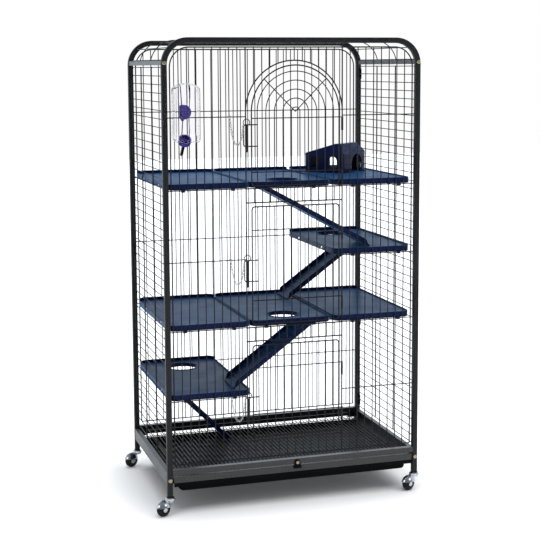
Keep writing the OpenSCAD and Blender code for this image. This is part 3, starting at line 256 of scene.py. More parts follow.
# %% Floor
FLOOR_HALF = 14.0
FOOT_X, FOOT_Y = 0.40, 0.26
# Strength of the floor's painted glow, seen only by the camera, near the cage and far from it, and how far
# past the footprint it fades between the two
GLOW_NEAR, GLOW_FAR, GLOW_START, GLOW_END = 0.06, 0.50, -0.03, 0.14
floor_mesh = bpy.data.meshes.new("Floor")
corners = [(-1, -1), (1, -1), (1, 1), (-1, 1)]
floor_mesh.from_pydata([(x * FLOOR_HALF, y * FLOOR_HALF, 0) for x, y in corners], [], [(0, 1, 2, 3)])
floor = bpy.data.objects.new("Floor", floor_mesh)
bpy.context.scene.collection.objects.link(floor)
floor_paint, tree, shader = new_material("Floor paint")
shader.inputs["Base Color"].default_value = (0.94, 0.945, 0.955, 1)
shader.inputs["Roughness"].default_value = 0.9
shader.inputs["Specular IOR Level"].default_value = 0.1
shader.inputs["Emission Color"].default_value = (0.97, 0.985, 1, 1)
# Painted light: for the camera only, the floor glows more the further a point is from the cage's
# footprint. This turns it white away from the cage, while the floor around and under the cage keeps a
# darker, painted shade.
spot = add(tree, "SeparateXYZ", Vector=add(tree, "TexCoord").outputs["Object"]).outputs
aside = math_node(tree, "SUBTRACT", math_node(tree, "ABSOLUTE", spot["X"]), FOOT_X)
beyond = math_node(tree, "SUBTRACT", math_node(tree, "ABSOLUTE", spot["Y"]), FOOT_Y)
outside = math_node(tree, "MAXIMUM", aside, beyond)
painted_floor_glow = fade(tree, outside, GLOW_NEAR, GLOW_FAR, GLOW_START, GLOW_END)
painted_floor_glow = math_node(tree, "MULTIPLY", add(tree, "LightPath").outputs["Is Camera Ray"], painted_floor_glow)
tree.links.new(painted_floor_glow, shader.inputs["Emission Strength"])
floor_mesh.materials.append(floor_paint)

# %% [markdown]
# ## Hammered paint
# Hammertone paint pulls itself into shallow dimples as it dries, with aluminium flakes that gather
# at their edges. A Voronoi pattern has that cell shape. The same group serves the frame, the
# crossbars, the wires and the paler rails, and the wires have smaller dimples.

# %% Group for hammered paint
PER_METRE, FLAKES_PER_METRE = 1000.0, 2600.0
hammered, given, result = new_group("Hammered paint", {"Dimple": 1.0}, ["Height", "Fleck", "Drift"])
where = add(hammered, "TexCoord").outputs["Object"]
cells = add(hammered, "TexVoronoi", feature="SMOOTH_F1", Vector=where, Smoothness=0.35)
hammered.links.new(math_node(hammered, "DIVIDE", PER_METRE, given["Dimple"]), cells.inputs["Scale"])
hammered.links.new(fade(hammered, cells.outputs["Distance"], 0.0, 1.0, 0.1, 0.75), result["Height"])
flakes = add(hammered, "TexNoise", Vector=where, Detail=2.0)
fineness = math_node(hammered, "DIVIDE", FLAKES_PER_METRE, given["Dimple"])
hammered.links.new(fineness, flakes.inputs["Scale"])
rim = fade(hammered, cells.outputs["Distance"], 0.0, 1.0, 0.35, 0.8)
glitter = fade(hammered, flakes.outputs[0], 0.2, 1.0, 0.4, 0.65)
hammered.links.new(math_node(hammered, "MULTIPLY", rim, glitter), result["Fleck"])
drift = add(hammered, "TexNoise", Vector=where, Scale=9.0, Detail=3.0)
hammered.links.new(fade(hammered, drift.outputs[0], 0.0, 1.0, 0.35, 0.65), result["Drift"])

# %% [markdown]
# ## Moulded skin
# Shelves, ramps, tray and hut are moulded plastic. The mould's spark-eroded skin gives a fine
# grain, flow gives broad uneven patches in the shine, and use gives faint scuffs that run mostly
# one way. All three come out of one group, because every plastic here shows them. The bare metals
# take their smudges from it as well.

# %% Group for moulded skin
SKIN_INPUTS, SKIN_OUTPUTS = {"Grain": 1.0, "Patch": 60.0}, ["Height", "Patches", "Scuffs"]
moulded, given, result = new_group("Moulded skin", SKIN_INPUTS, SKIN_OUTPUTS)
where = add(moulded, "TexCoord").outputs["Object"]
grain = add(moulded, "TexNoise", Vector=where, Detail=3.0, Roughness=0.65)
moulded.links.new(math_node(moulded, "DIVIDE", PER_METRE, given["Grain"]), grain.inputs["Scale"])
moulded.links.new(grain.outputs[0], result["Height"])
patches = add(moulded, "TexNoise", Vector=where, Detail=4.0, Roughness=0.55)
moulded.links.new(math_node(moulded, "DIVIDE", PER_METRE, given["Patch"]), patches.inputs["Scale"])
moulded.links.new(fade(moulded, patches.outputs[0], 0.0, 1.0, 0.32, 0.68), result["Patches"])
stretched = add(moulded, "Mapping", Vector=where, Scale=(18.0, 260.0, 260.0), Rotation=(0.0, 0.0, 0.5))
scuffs = add(moulded, "TexNoise", Vector=stretched.outputs[0], Scale=1.0, Detail=3.0)
moulded.links.new(fade(moulded, scuffs.outputs[0], 0.0, 1.0, 0.6, 0.74), result["Scuffs"])


# %% Painted metals
def darker(colour, share):
    """That share of a colour, as solid as before."""
    return tuple(share * c for c in colour[:3]) + (1,)


def painted_metal(name, dark, light, dimple, relief, shine, coat):
    """Hammered paint between two greys, under a clear coat. Its dimples are that wide in millimetres."""
    material, tree, shader = new_material(name)
    skin = place_group(tree, hammered, Dimple=dimple)
    base = blend_colours(tree, skin["Drift"], dark, darker(dark, 0.82))
    flecked = math_node(tree, "MULTIPLY", skin["Fleck"], 0.7)
    tree.links.new(blend_colours(tree, flecked, base, light), shader.inputs["Base Color"])
    tree.links.new(fade(tree, skin["Fleck"], shine + 0.12, shine - 0.05), shader.inputs["Roughness"])
    tree.links.new(fade(tree, skin["Fleck"], 0.15, 0.5), shader.inputs["Metallic"])
    shader.inputs["Specular IOR Level"].default_value = 0.25
    shader.inputs["Coat Weight"].default_value = coat
    shader.inputs["Coat Roughness"].default_value = 0.22
    bump(tree, shader, skin["Height"], relief)
    return material


frame_paint = painted_metal(
    "Frame paint", (0.009, 0.0093, 0.0105, 1), (0.058, 0.060, 0.066, 1),
    dimple=2.2, relief=0.00012, shine=0.36, coat=0.1)
wire_paint = painted_metal(
    "Wire paint", (0.009, 0.009, 0.010, 1), (0.052, 0.052, 0.056, 1),
    dimple=1.3, relief=0.00005, shine=0.40, coat=0.1)
bar_paint = painted_metal(
    "Bar paint", (0.012, 0.0122, 0.0135, 1), (0.066, 0.068, 0.074, 1),
    dimple=2.2, relief=0.00006, shine=0.34, coat=1.0)
rail_paint = painted_metal(
    "Rail paint", (0.085, 0.088, 0.095, 1), (0.34, 0.35, 0.37, 1),
    dimple=2.2, relief=0.00010, shine=0.36, coat=0.3)


# %% Moulded plastics
def moulded_plastic(name, colour, pale, grain, relief, rough, glossy, level):
    """A plastic colour that turns paler in its scuffs, between two roughnesses in its patches."""
    material, tree, shader = new_material(name)
    skin = place_group(tree, moulded, Grain=grain, Patch=70.0)
    shade = blend_colours(tree, skin["Patches"], colour, darker(colour, 0.8))
    scuffed = math_node(tree, "MULTIPLY", skin["Scuffs"], 0.35)
    tree.links.new(blend_colours(tree, scuffed, shade, pale), shader.inputs["Base Color"])
    worn = math_node(tree, "MULTIPLY", skin["Scuffs"], 0.08)
    patchy = fade(tree, skin["Patches"], glossy, rough)
    tree.links.new(math_node(tree, "ADD", patchy, worn), shader.inputs["Roughness"])
    shader.inputs["Specular IOR Level"].default_value = level
    bump(tree, shader, skin["Height"], relief)
    return material


navy_plastic = moulded_plastic(
    "Navy plastic", (0.0025, 0.010, 0.062, 1), (0.015, 0.04, 0.14, 1),
    grain=1.1, relief=0.00012, rough=0.40, glossy=0.28, level=0.12)
navy_shader = navy_plastic.node_tree.nodes["Principled BSDF"]
navy_shader.inputs["Sheen Weight"].default_value = 0.6
navy_shader.inputs["Sheen Roughness"].default_value = 0.4
navy_shader.inputs["Sheen Tint"].default_value = (0.12, 0.45, 1.0, 1)
hut_plastic = moulded_plastic(
    "Hut plastic", (0.002, 0.009, 0.06, 1), (0.015, 0.04, 0.13, 1),
    grain=2.2, relief=0.00004, rough=0.24, glossy=0.14, level=0.18)
black_plastic = moulded_plastic(
    "Black plastic", (0.003, 0.003, 0.005, 1), (0.02, 0.02, 0.025, 1),
    grain=1.6, relief=0.00012, rough=0.55, glossy=0.42, level=0.06)
wheel_plastic = moulded_plastic(
    "Wheel tread", (0.006, 0.006, 0.0065, 1), (0.05, 0.05, 0.05, 1),
    grain=0.8, relief=0.00006, rough=0.50, glossy=0.38, level=0.2)
violet_plastic = moulded_plastic(
    "Violet plastic", (0.055, 0.032, 0.26, 1), (0.14, 0.11, 0.40, 1),
    grain=1.4, relief=0.00005, rough=0.34, glossy=0.25, level=0.3)
tube_plastic = moulded_plastic(
    "Sipper tube", (0.004, 0.004, 0.005, 1), (0.03, 0.03, 0.03, 1),
    grain=1.4, relief=0.00003, rough=0.24, glossy=0.16, level=0.3)


# %% [markdown]
# ## Bare metal
# Caster forks are chromed, the screws are zinc plated and passivated yellow, and the chains are
# plain steel. All are smooth metals that differ in colour and in how the shine breaks up, so one
# function makes them with smudges and fine pits.

# %% Bare metals
def bare_metal(name, bright, dull, rough, glossy, smudge):
    """A metal between two colours and two roughnesses, with smudges of that size in millimetres."""
    material, tree, shader = new_material(name)
    skin = place_group(tree, moulded, Grain=0.7, Patch=smudge)
    tree.links.new(blend_colours(tree, skin["Patches"], bright, dull), shader.inputs["Base Color"])
    patchy = fade(tree, skin["Patches"], glossy, rough)
    worn = math_node(tree, "MULTIPLY", skin["Scuffs"], 0.12)
    tree.links.new(math_node(tree, "ADD", patchy, worn), shader.inputs["Roughness"])
    shader.inputs["Metallic"].default_value = 1.0
    bump(tree, shader, skin["Height"], 0.00002)
    return material


chrome = bare_metal(
    "Chrome", (0.72, 0.74, 0.77, 1), (0.60, 0.62, 0.65, 1),
    rough=0.22, glossy=0.08, smudge=9.0)
screw_zinc = bare_metal(
    "Screw zinc", (0.62, 0.53, 0.34, 1), (0.44, 0.37, 0.22, 1),
    rough=0.36, glossy=0.22, smudge=3.0)
chain_steel = bare_metal(
    "Chain steel", (0.80, 0.78, 0.74, 1), (0.60, 0.58, 0.54, 1),
    rough=0.38, glossy=0.22, smudge=4.0)

# %% Clear plastic
clear_plastic, tree, shader = new_material("Clear plastic")
skin = place_group(tree, moulded, Grain=3.0, Patch=24.0)
clear, hazy = (0.99, 0.985, 1.0, 1), (0.965, 0.96, 0.99, 1)
tree.links.new(blend_colours(tree, skin["Patches"], clear, hazy), shader.inputs["Base Color"])
tree.links.new(fade(tree, skin["Patches"], 0.0, 0.03), shader.inputs["Roughness"])
shader.inputs["IOR"].default_value = 1.14
shader.inputs["Transmission Weight"].default_value = 1.0
bump(tree, shader, skin["Height"], 0.00001)
print(len(bpy.data.materials), "materials")

# %% [markdown]
# ## Grids become meshes
# Every new surface here is a grid of points: rows along the piece, columns round its section.
# The points are worked out as one numpy array. Only their numbering has to be told to Blender, so
# one function lists the four corners of each face, and another puts the arrays into a mesh.

# %% Grid faces and pieces
def quads(rows, columns):
    """Corner numbers of a grid that closes round its columns.
    The point in one row and column has the number row * columns + column."""
    row, column = np.mgrid[0:rows - 1, 0:columns]
    beside = (column + 1) % columns
    here, after = row * columns, (row + 1) * columns
    corners = [here + column, here + beside, after + beside, after + column]
    return np.stack(corners, -1).reshape(-1, 4)


def piece(name, parts, material, body, replaced, sharp=35):
    """One object from several (points, faces), smooth but for edges sharper than an angle."""
    points, faces, count = [], [], 0
    for part_points, part_faces in parts:
        points.append(np.asarray(part_points, float).reshape(-1, 3))
        faces += [[corner + count for corner in face] for face in part_faces]
        count += len(points[-1])
    mesh = bpy.data.meshes.new(name)
    mesh.from_pydata(np.concatenate(points).tolist(), [], faces)
    mesh.polygons.foreach_set("use_smooth", np.ones(len(faces), bool))
    mesh.set_sharp_from_angle(angle=math.radians(sharp))
    mesh.materials.append(material)
    made = bpy.data.objects.new(name, mesh)
    bpy.context.scene.collection.objects.link(made)
    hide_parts(*replaced)
    if body:
        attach(made, body)
    print(f"{name}: {len(points)} parts, {len(faces)} faces")
    return made


# %% [markdown]
# ## Sweeping a section along a path
# A wire, a frame tube and a sheet edge are all one thing: an outline carried along a line. At
# each point of the path the outline is drawn in the plane square to it, with one of its axes kept
# along a fixed direction. Many wires of equal shape are swept in a single call.

# %% Sweep and wires
def unit(vectors):
    """Vectors brought to length one, along the last axis."""
    return vectors / np.linalg.norm(vectors, axis=-1, keepdims=True)


def sweep(paths, across, outline, end_scale=1.0, end_length=0.0):
    """Sections along paths. A ring's point is path + u * normal + v * across, where normal is
    across x direction and direction is the mean of the path's two steps there. The end rings are
    drawn end_scale smaller, over end_length, which breaks the cut edge."""
    paths = np.asarray(paths, float)
    if paths.ndim == 2:
        paths = paths[None]
    steps = unit(np.diff(paths, axis=1))
    direction = unit(np.concatenate([steps[:, :1], steps[:, 1:] + steps[:, :-1], steps[:, -1:]], 1))
    start, end = paths[:, :1], paths[:, -1:]
    centres = np.concatenate([
        start,
        start + direction[:, :1] * end_length,
        paths[:, 1:-1],
        end - direction[:, -1:] * end_length,
        end,
    ], 1)
    direction = np.concatenate([direction[:, :1], direction, direction[:, -1:]], 1)
    across = np.broadcast_to(unit(np.asarray(across, float)), direction.shape)
    normal = np.cross(across, direction)
    scale = np.ones(centres.shape[1])
    scale[[0, -1]] = end_scale
    u, v = np.asarray(outline, float).T
    section = u[:, None] * normal[:, :, None] + v[:, None] * across[:, :, None]
    rings = centres[:, :, None] + scale[:, None, None] * section
    rows, sides = centres.shape[1], len(u)
    walls = quads(rows, sides)
    first = np.arange(len(paths))[:, None, None] * rows * sides
    faces = (first + walls).reshape(-1, 4).tolist()
    start_caps = (first[:, 0] + np.arange(sides)[::-1]).tolist()
    end_caps = (first[:, 0] + (rows - 1) * sides + np.arange(sides)).tolist()
    return rings, faces + start_caps + end_caps


def circle(diameter, sides):
    """A round outline of that diameter."""
    turn = np.linspace(0, 2 * np.pi, sides, endpoint=False)
    return np.stack([np.cos(turn), np.sin(turn)], 1) * diameter / 2


WIRE_SIDES, END_SCALE, END_LENGTH = 12, 0.7, 0.12


def wires(paths, diameter, across=(0, 1, 0)):
    """Round wires along paths, with their cut ends slightly broken."""
    return sweep(paths, across, circle(diameter, WIRE_SIDES), END_SCALE, diameter * END_LENGTH)


def straight(x, y, z):
    """Straight paths. Each of x, y and z is a number, a (start, end) pair, or one pair per wire."""
    ends = [np.broadcast_to(v, np.broadcast_shapes(np.shape(v), (1, 2))) for v in (x, y, z)]
    return np.stack(np.broadcast_arrays(*ends), -1)


def each(values):
    """One value per wire, the same at both its ends."""
    values = np.asarray(values, float)
    return np.stack([values, values], 1)


def arc(x, z, radius, start, end, steps=12):
    """Points (x, z) on a circle from one angle to another, in degrees."""
    turn = np.radians(np.linspace(start, end, steps + 1))
    return np.stack([x + radius * np.cos(turn), z + radius * np.sin(turn)], 1)


def upright_path(points, y):
    """A path in the plane of the front, from (x, z) points and one y."""
    points = np.asarray(points, float)
    return np.stack([points[:, 0], np.full(len(points), y), points[:, 1]], 1)


# %% [markdown]
# ## Sizes from the frame
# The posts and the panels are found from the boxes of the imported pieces, so that every wire lands
# where the construction has it. The tube's side, the wires' diameters, the number of gaps and the
# heights of the shelf wires can't be read from a box, so they repeat the construction's values.

# %% Places of posts and panels
MM = 0.001
TUBE = 16 * MM
WIRE, BORDER, SIDE_WIRE = 3 * MM, 4 * MM, 2.6 * MM
BITE = 0.4 * MM
PANEL_GAP = 8.5 * MM
frame_low, frame_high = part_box("front_frame")
rear_low, rear_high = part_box("rear_frame")
mid_x = (frame_low.x + frame_high.x) / 2
front_y, back_y = (frame_low.y + frame_high.y) / 2, (rear_low.y + rear_high.y) / 2
mid_y = (front_y + back_y) / 2
post_x = (frame_high.x - frame_low.x - TUBE) / 2
inner_x = post_x - TUBE / 2
inner_y = (back_y - front_y - TUBE) / 2
cage_top = frame_high.z
GAPS, SIDE_GAPS = 30, 9
half_mesh = inner_x - PANEL_GAP
pitch = 2 * half_mesh / GAPS
open_x = (GAPS / 2 - SIDE_GAPS) * pitch
panel_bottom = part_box("back_panel")[0].z + (BORDER - BITE) / 2
panel_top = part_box("back_panel")[1].z - BORDER / 2
CORNER = 56 * MM
LAYER = WIRE - BITE
LEVELS = np.array([335, 541, 743, 950, 1158]) * MM
print("post x", round(post_x, 4), "pitch", round(pitch, 4))
print("panel", round(panel_bottom, 4), round(panel_top, 4))

# %% [markdown]
# ## The bent frame
# Front and rear frame are square tube, bent at the top over a former. The tube's own edges are
# rolled, not sharp, so its section is a square with small round corners, swept over the arch.

# %% Front and rear frame
BEND = 70 * MM
EDGE = 2.2 * MM


def rounded_square(side, radius, steps=4):
    """The outline of a square with quarter circles at its corners."""
    corner = np.radians(np.arange(4)[:, None] * 90 + np.linspace(0, 90, steps + 1))
    diagonal = np.exp(1j * np.radians(np.arange(4) * 90 + 45))[:, None]
    middle = (side / 2 - radius) * np.sqrt(2) * diagonal
    points = (middle + radius * np.exp(1j * corner)).reshape(-1)
    return np.stack([points.real, points.imag], 1)


def arch(half_width, top, bend, bottom, steps=20):
    """(x, z) points of an upside-down U: up on the right, over, and down on the left."""
    return np.concatenate([
        [(half_width, bottom)],
        arc(half_width - bend, top - bend, bend, 0, 90, steps),
        arc(-half_width + bend, top - bend, bend, 90, 180, steps),
        [(-half_width, bottom)],
    ])


tube_section = rounded_square(TUBE, EDGE)
for name, y in (("front_frame", front_y), ("rear_frame", back_y)):
    line = arch(post_x, cage_top - TUBE / 2, BEND, frame_low.z) + (mid_x, 0)
    tube = sweep(upright_path(line, y), (0, 1, 0), tube_section, 0.96, 0.3 * MM)
    piece(name + "_tube", [tube], frame_paint, "cage", [name], 30)

# %% [markdown]
# ## The front panel
# A welder lays the border, the doorway wires and the upright wires in one plane, and the shelf
# wires behind them. The border runs up, round two large corners and down again as one wire.

# %% Upright wires and panels
def border_height(x):
    """Height of the border over x: level, and falling along the corner's quarter circle."""
    over = np.clip(np.abs(x) - (half_mesh - CORNER), 0, None)
    return panel_top - CORNER + np.sqrt(CORNER ** 2 - over ** 2)


def upright_wires(x, y, bottom, top):
    """Upright wires at each x, from bottom to top, which are numbers or one value per wire."""
    x = np.asarray(x, float)
    bottom, top = np.broadcast_to(bottom, x.shape), np.broadcast_to(top, x.shape)
    return wires(straight(each(x + mid_x), y, np.stack([bottom, top], 1)), WIRE)


def level_wires(x0, x1, y, heights, diameter):
    """Level wires from x0 to x1 at each height."""
    return wires(straight((x0 + mid_x, x1 + mid_x), y, each(heights)), diameter, (0, 0, 1))


columns = np.arange(1, GAPS) * pitch - half_mesh
outer = np.abs(columns) > open_x + pitch / 2
between = columns[np.abs(columns) < open_x - pitch / 2]
arch_centre = 1171 * MM
DOOR_STRIPS = [(panel_bottom, 200 * MM), (500 * MM, LEVELS[1]), (909 * MM, LEVELS[3])]
border_line = arch(half_mesh, panel_top, CORNER, panel_bottom, 12) + (mid_x, 0)
doorway = arc(mid_x, arch_centre, open_x, 0, 180, 40)
doorway_sides = np.array([-open_x, open_x]) + mid_x
front_parts = [
    wires(upright_path(border_line, front_y), BORDER),
    wires(upright_path(doorway, front_y), BORDER),
    wires(straight(each(doorway_sides), front_y, (panel_bottom, panel_top)), BORDER),
    upright_wires(columns[outer], front_y, panel_bottom, border_height(columns[outer])),
    upright_wires(between, front_y, arch_centre + np.sqrt(open_x ** 2 - between ** 2), panel_top),
    level_wires(-inner_x, -open_x, front_y + LAYER, LEVELS, WIRE),
    level_wires(open_x, inner_x, front_y + LAYER, LEVELS, WIRE),
    level_wires(-half_mesh, -open_x, front_y, [panel_bottom], BORDER - BITE),
    level_wires(open_x, half_mesh, front_y, [panel_bottom], BORDER - BITE),
]
for low, high in DOOR_STRIPS:
    front_parts.append(level_wires(-open_x, open_x, front_y, [low, high], BORDER))
    front_parts.append(upright_wires(between, front_y, low, high))
piece("front_panel_wires", front_parts, wire_paint, "cage",
      ["front_panel_left", "front_panel_right", "front_panel_header", "front_panel_bridges"])

# %% Back panel
piece("back_panel_wires", [
    wires(upright_path(border_line, back_y), BORDER),
    upright_wires(columns, back_y, panel_bottom, border_height(columns)),
    level_wires(-inner_x, inner_x, back_y - LAYER, LEVELS, WIRE),
    level_wires(-half_mesh, half_mesh, back_y, [panel_bottom], BORDER - BITE),
], wire_paint, "cage", ["back_panel"])

# %% [markdown]
# ## Side panels and roof
# The side panels are ladders: many thin level wires on four uprights. The roof's four cross wires
# are bent down over the side rails like hoops, and the lengthwise wires run under them.

# %% Side panels
side_low, side_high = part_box("right_panel")
SIDE_GAP, LAST_ROW_ROOM = 8 * MM, 6 * MM
side_top = side_high.z - BORDER / 2
side_half = inner_y - SIDE_GAP
side_rows = np.arange(int((side_top - panel_bottom + LAST_ROW_ROOM) / pitch) + 1)
ladder = side_top - side_rows * pitch
side_in = (BORDER + SIDE_WIRE) / 2 - BITE
side_run = (mid_y - side_half - BORDER / 2, mid_y + side_half + BORDER / 2)
uprights = np.array([-side_half, -side_half / 3, side_half / 3, side_half]) + mid_y
for name, side in (("left_panel", -1), ("right_panel", 1)):
    outer_x, rung_x = mid_x + side * post_x, mid_x + side * (post_x - side_in)
    piece(name + "_wires", [
        wires(straight(outer_x, each(uprights), (side_low.z, side_high.z)), BORDER),
        wires(straight(rung_x, side_run, each(ladder)), SIDE_WIRE, (1, 0, 0)),
    ], wire_paint, "cage", [name])

# %% Roof
# Each hoop ends in a wire that rests on the side rails, at a small angle above the bend's start
REST_GAP, HOOP_GAP, PAST_FOOT = 0.1 * MM, 6 * MM, 1.2
roof_axis = cage_top - TUBE / 2
rest_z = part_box("top_rails")[1].z + WIRE / 2 + REST_GAP
foot = math.asin((rest_z - roof_axis + BEND) / BEND)
hoop_half = inner_y - HOOP_GAP
turn_x, turn_z, start = post_x - BEND, roof_axis - BEND, math.degrees(foot) - PAST_FOOT
hoop = np.concatenate([
    arc(turn_x, turn_z, BEND + LAYER, start, 90, 14),
    arc(-turn_x, turn_z, BEND + LAYER, 90, 180 - start, 14),
]) + (mid_x, 0)
hoops = [upright_path(hoop, mid_y + y) for y in (-hoop_half, -hoop_half / 3, hoop_half / 3, hoop_half)]
flat = np.concatenate([[-half_mesh], columns, [half_mesh]])
flat = flat[np.abs(flat) < turn_x]
run = (mid_y - inner_y, mid_y + inner_y)
roof_parts = [wires(hoops, WIRE), wires(straight(each(flat + mid_x), run, roof_axis), WIRE, (0, 0, 1))]
for turn in (math.pi / 4, foot):
    x = post_x - BEND * (1 - math.cos(turn))
    z = roof_axis - BEND * (1 - math.sin(turn))
    pair = each(np.array([-x, x]) + mid_x)
    roof_parts.append(wires(straight(pair, run, z), WIRE, (0, 0, 1)))
piece("roof_wires", roof_parts, wire_paint, "cage", ["roof_panel"])

# %% [markdown]
# ## Doors
# Each door is a bent border with ten upright wires, two cross wires that end in the hinge
# sleeves, and a U-shaped keeper that the latch pin drops through. The top door ends in an arch
# with five smaller arches and two slanting wires inside it.

# %% Door wires
DOOR_HALF, DOOR_SHIFT, DOOR_PITCH, DOOR_WIRES = 134 * MM, 3.5 * MM, 25.9 * MM, 10
DOOR_CORNER, DOOR_FORWARD, SLEEVE = 9 * MM, 1 * MM, 3.33 * MM
KEEPER, KEEPER_HALF, KEEPER_BEND, KEEPER_REACH = 3.5 * MM, 31 * MM, 6 * MM, 7.4 * MM
KEEPER_GAP, KEEPER_LAP = 0.35 * MM, 1 * MM
SQUARE_RAIL_IN, ARCHED_RAIL_IN, RAIL_DROP = 69 * MM, 39 * MM, 2 * MM
door_y = front_y - DOOR_FORWARD
door_x = mid_x + DOOR_SHIFT
keeper_y = front_y - BORDER / 2 - KEEPER_GAP - KEEPER / 2
keeper_end = mid_x - open_x - KEEPER_REACH
door_columns = door_x + (np.arange(DOOR_WIRES) - (DOOR_WIRES - 1) / 2) * DOOR_PITCH


def keeper(z):
    """The keeper: a wire bent into a U, from the door's first upright round the pin and back."""
    root_x, turn_x = door_columns[0] + KEEPER_LAP, keeper_end + KEEPER_BEND
    points = np.concatenate([
        [(root_x, z + KEEPER_HALF)],
        arc(turn_x, z + KEEPER_HALF - KEEPER_BEND, KEEPER_BEND, 90, 180, 6),
        arc(turn_x, z - KEEPER_HALF + KEEPER_BEND, KEEPER_BEND, 180, 270, 6),
        [(root_x, z - KEEPER_HALF)],
    ])
    return wires(upright_path(points, keeper_y), KEEPER)


def door_rails(heights):
    """The two cross wires behind the uprights, which run on to the hinge sleeves."""
    run = (door_x - DOOR_HALF, mid_x + open_x - SLEEVE)
    return wires(straight(run, door_y + LAYER, each(heights)), WIRE, (0, 0, 1))


def door_border(bottom, top):
    """A closed border from the bottom's middle up, over and down. With no top height it is an arch."""
    left, right, bend = door_x - DOOR_HALF, door_x + DOOR_HALF, DOOR_CORNER
    up = arc(left + bend, bottom + bend, bend, 270, 180, 6)
    down = arc(right - bend, bottom + bend, bend, 0, -90, 6)
    if top is None:
        over = arc(door_x, arch_centre, DOOR_HALF, 180, 0, 40)
    else:
        over = np.concatenate([
            arc(left + bend, top - bend, bend, 180, 90, 6),
            arc(right - bend, top - bend, bend, 90, 0, 6),
        ])
    start = [(door_x, bottom)]
    return wires(upright_path(np.concatenate([start, up, over, down, start]), door_y), BORDER)


def square_door(name, latch):
    """A door with small round corners and upright wires from edge to edge."""
    low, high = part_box(name)
    bottom, top = low.z + BORDER / 2, high.z - BORDER / 2
    piece(name + "_wires", [
        door_border(bottom, top),
        wires(straight(each(door_columns), door_y, (bottom, top)), WIRE),
        door_rails([bottom + SQUARE_RAIL_IN, top - SQUARE_RAIL_IN]),
        keeper(latch),
    ], wire_paint, name, [name])


LATCHES = {"top": 1104 * MM, "middle": 710 * MM, "lower": 302 * MM}
square_door("middle_door", LATCHES["middle"])
square_door("lower_door", LATCHES["lower"])

# %% Arched door
top_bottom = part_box("top_door")[0].z + BORDER / 2
reach = DOOR_HALF / math.sqrt(2)
hub = (door_x, arch_centre)
fans = np.stack([
    upright_path([hub, (door_x + side * reach, arch_centre + reach)], door_y + LAYER) for side in (-1, 1)
])
arches = []
for k in range(DOOR_WIRES // 2):
    line = arc(door_x, arch_centre, (k + 0.5) * DOOR_PITCH, 0, 180, 16 + 4 * k)
    arches.append(wires(upright_path(line, door_y), WIRE))
piece("top_door_wires", [
    door_border(top_bottom, None),
    wires(straight(each(door_columns), door_y, (top_bottom, arch_centre)), WIRE),
    wires(fans, WIRE),
    door_rails([top_bottom + ARCHED_RAIL_IN, LEVELS[4] - RAIL_DROP - WIRE]),
    keeper(LATCHES["top"]),
] + arches, wire_paint, "top_door", ["top_door"])

# %% [markdown]
# ## Pins and chains
# A latch pin is a rod with a pull ring, and its chain hangs from a ring on the panel to the pull
# ring. The links follow a catenary, each a torus turned a quarter against its neighbour. When the
# pin is lifted the chain has to follow at one end only, but here it is built in place in no body.

# %% Lathe and rings
def lathe(profile, centre, sides):
    """A surface of revolution: centre + radius * spoke + height * up, for each (radius, height) of the
    profile. The spokes are (-cos, -sin, 0) of even turns, and both ends are closed by a flat face."""
    turn = np.linspace(0, 2 * np.pi, sides, endpoint=False)
    radius, height = np.asarray(profile, float).T
    spoke = -np.stack([np.cos(turn), np.sin(turn), 0 * turn], 1)
    up = np.array([0.0, 0.0, 1.0])
    rings = np.asarray(centre) + radius[:, None, None] * spoke + height[:, None, None] * up
    last = (len(radius) - 1) * sides
    caps = [list(range(sides))[::-1], list(range(last, last + sides))]
    return rings, quads(len(radius), sides).tolist() + caps


def torus(centres, first, second, radius, wire, sides=24, around=8):
    """Rings: centre + (radius + wire cos) * (cos first + sin second) + wire sin * first x second.
    centres, first and second are lists of vectors, and radius may differ along first and second."""
    centres, first, second = (np.atleast_2d(np.asarray(v, float)) for v in (centres, first, second))
    turn = np.linspace(0, 2 * np.pi, sides, endpoint=False)[:, None]
    roll = np.linspace(0, 2 * np.pi, around, endpoint=False)[None, :]
    long, wide = np.broadcast_to(radius, 2)
    u = (long + wire / 2 * np.cos(roll)) * np.cos(turn)
    v = (wide + wire / 2 * np.cos(roll)) * np.sin(turn)
    w = wire / 2 * np.sin(roll) + 0 * turn
    normal = np.cross(first, second)
    points = centres[:, None, None] + u[..., None] * first[:, None, None]
    points = points + v[..., None] * second[:, None, None] + w[..., None] * normal[:, None, None]
    row, column = np.mgrid[0:sides, 0:around]
    beside = (column + 1) % around
    here, after = row * around, (row + 1) % sides * around
    corners = [here + column, after + column, after + beside, here + beside]
    faces = np.stack(corners, -1).reshape(-1, 4)
    ring_start = np.arange(len(centres))[:, None, None] * sides * around
    return points, (ring_start + faces).reshape(-1, 4).tolist()


# %% Latch pins
PIN, PIN_GAP, PIN_TIP, BARREL_HALF = 5 * MM, 0.3 * MM, 48 * MM, 25 * MM
RING, RING_WIRE, RING_RISE = 22 * MM, 2.6 * MM, 38 * MM
pin_x = mid_x - open_x
pin_y = keeper_y - KEEPER / 2 - PIN_GAP - PIN / 2
pin_r, ring_r = PIN / 2, (RING - RING_WIRE) / 2
# Up from the rounded tip: the shank, then a collar that rests on the barrel
PIN_PROFILE = [
    (0.3 * pin_r, -PIN_TIP),
    (0.62 * pin_r, -PIN_TIP + 0.4 * MM),
    (pin_r, -PIN_TIP + 2 * MM),
    (pin_r, BARREL_HALF + 0.3 * MM),
    (3.6 * MM, BARREL_HALF + 0.3 * MM),
    (4.0 * MM, BARREL_HALF + 0.7 * MM),
    (4.0 * MM, BARREL_HALF + 3.0 * MM),
    (3.4 * MM, BARREL_HALF + 3.5 * MM),
    (0.4 * pin_r, BARREL_HALF + 3.7 * MM),
]
for name, z in LATCHES.items():
    rod = lathe(PIN_PROFILE, (pin_x, pin_y, z), 24)
    pull = torus([(pin_x, pin_y, z + RING_RISE)], [(1, 0, 0)], [(0, 0, 1)], ring_r, RING_WIRE, 40, 10)
    replaced = ["latch_pin_" + name]
    piece(f"latch_pin_{name}_rod", [rod, pull], frame_paint, name + "_pin", replaced, 40)

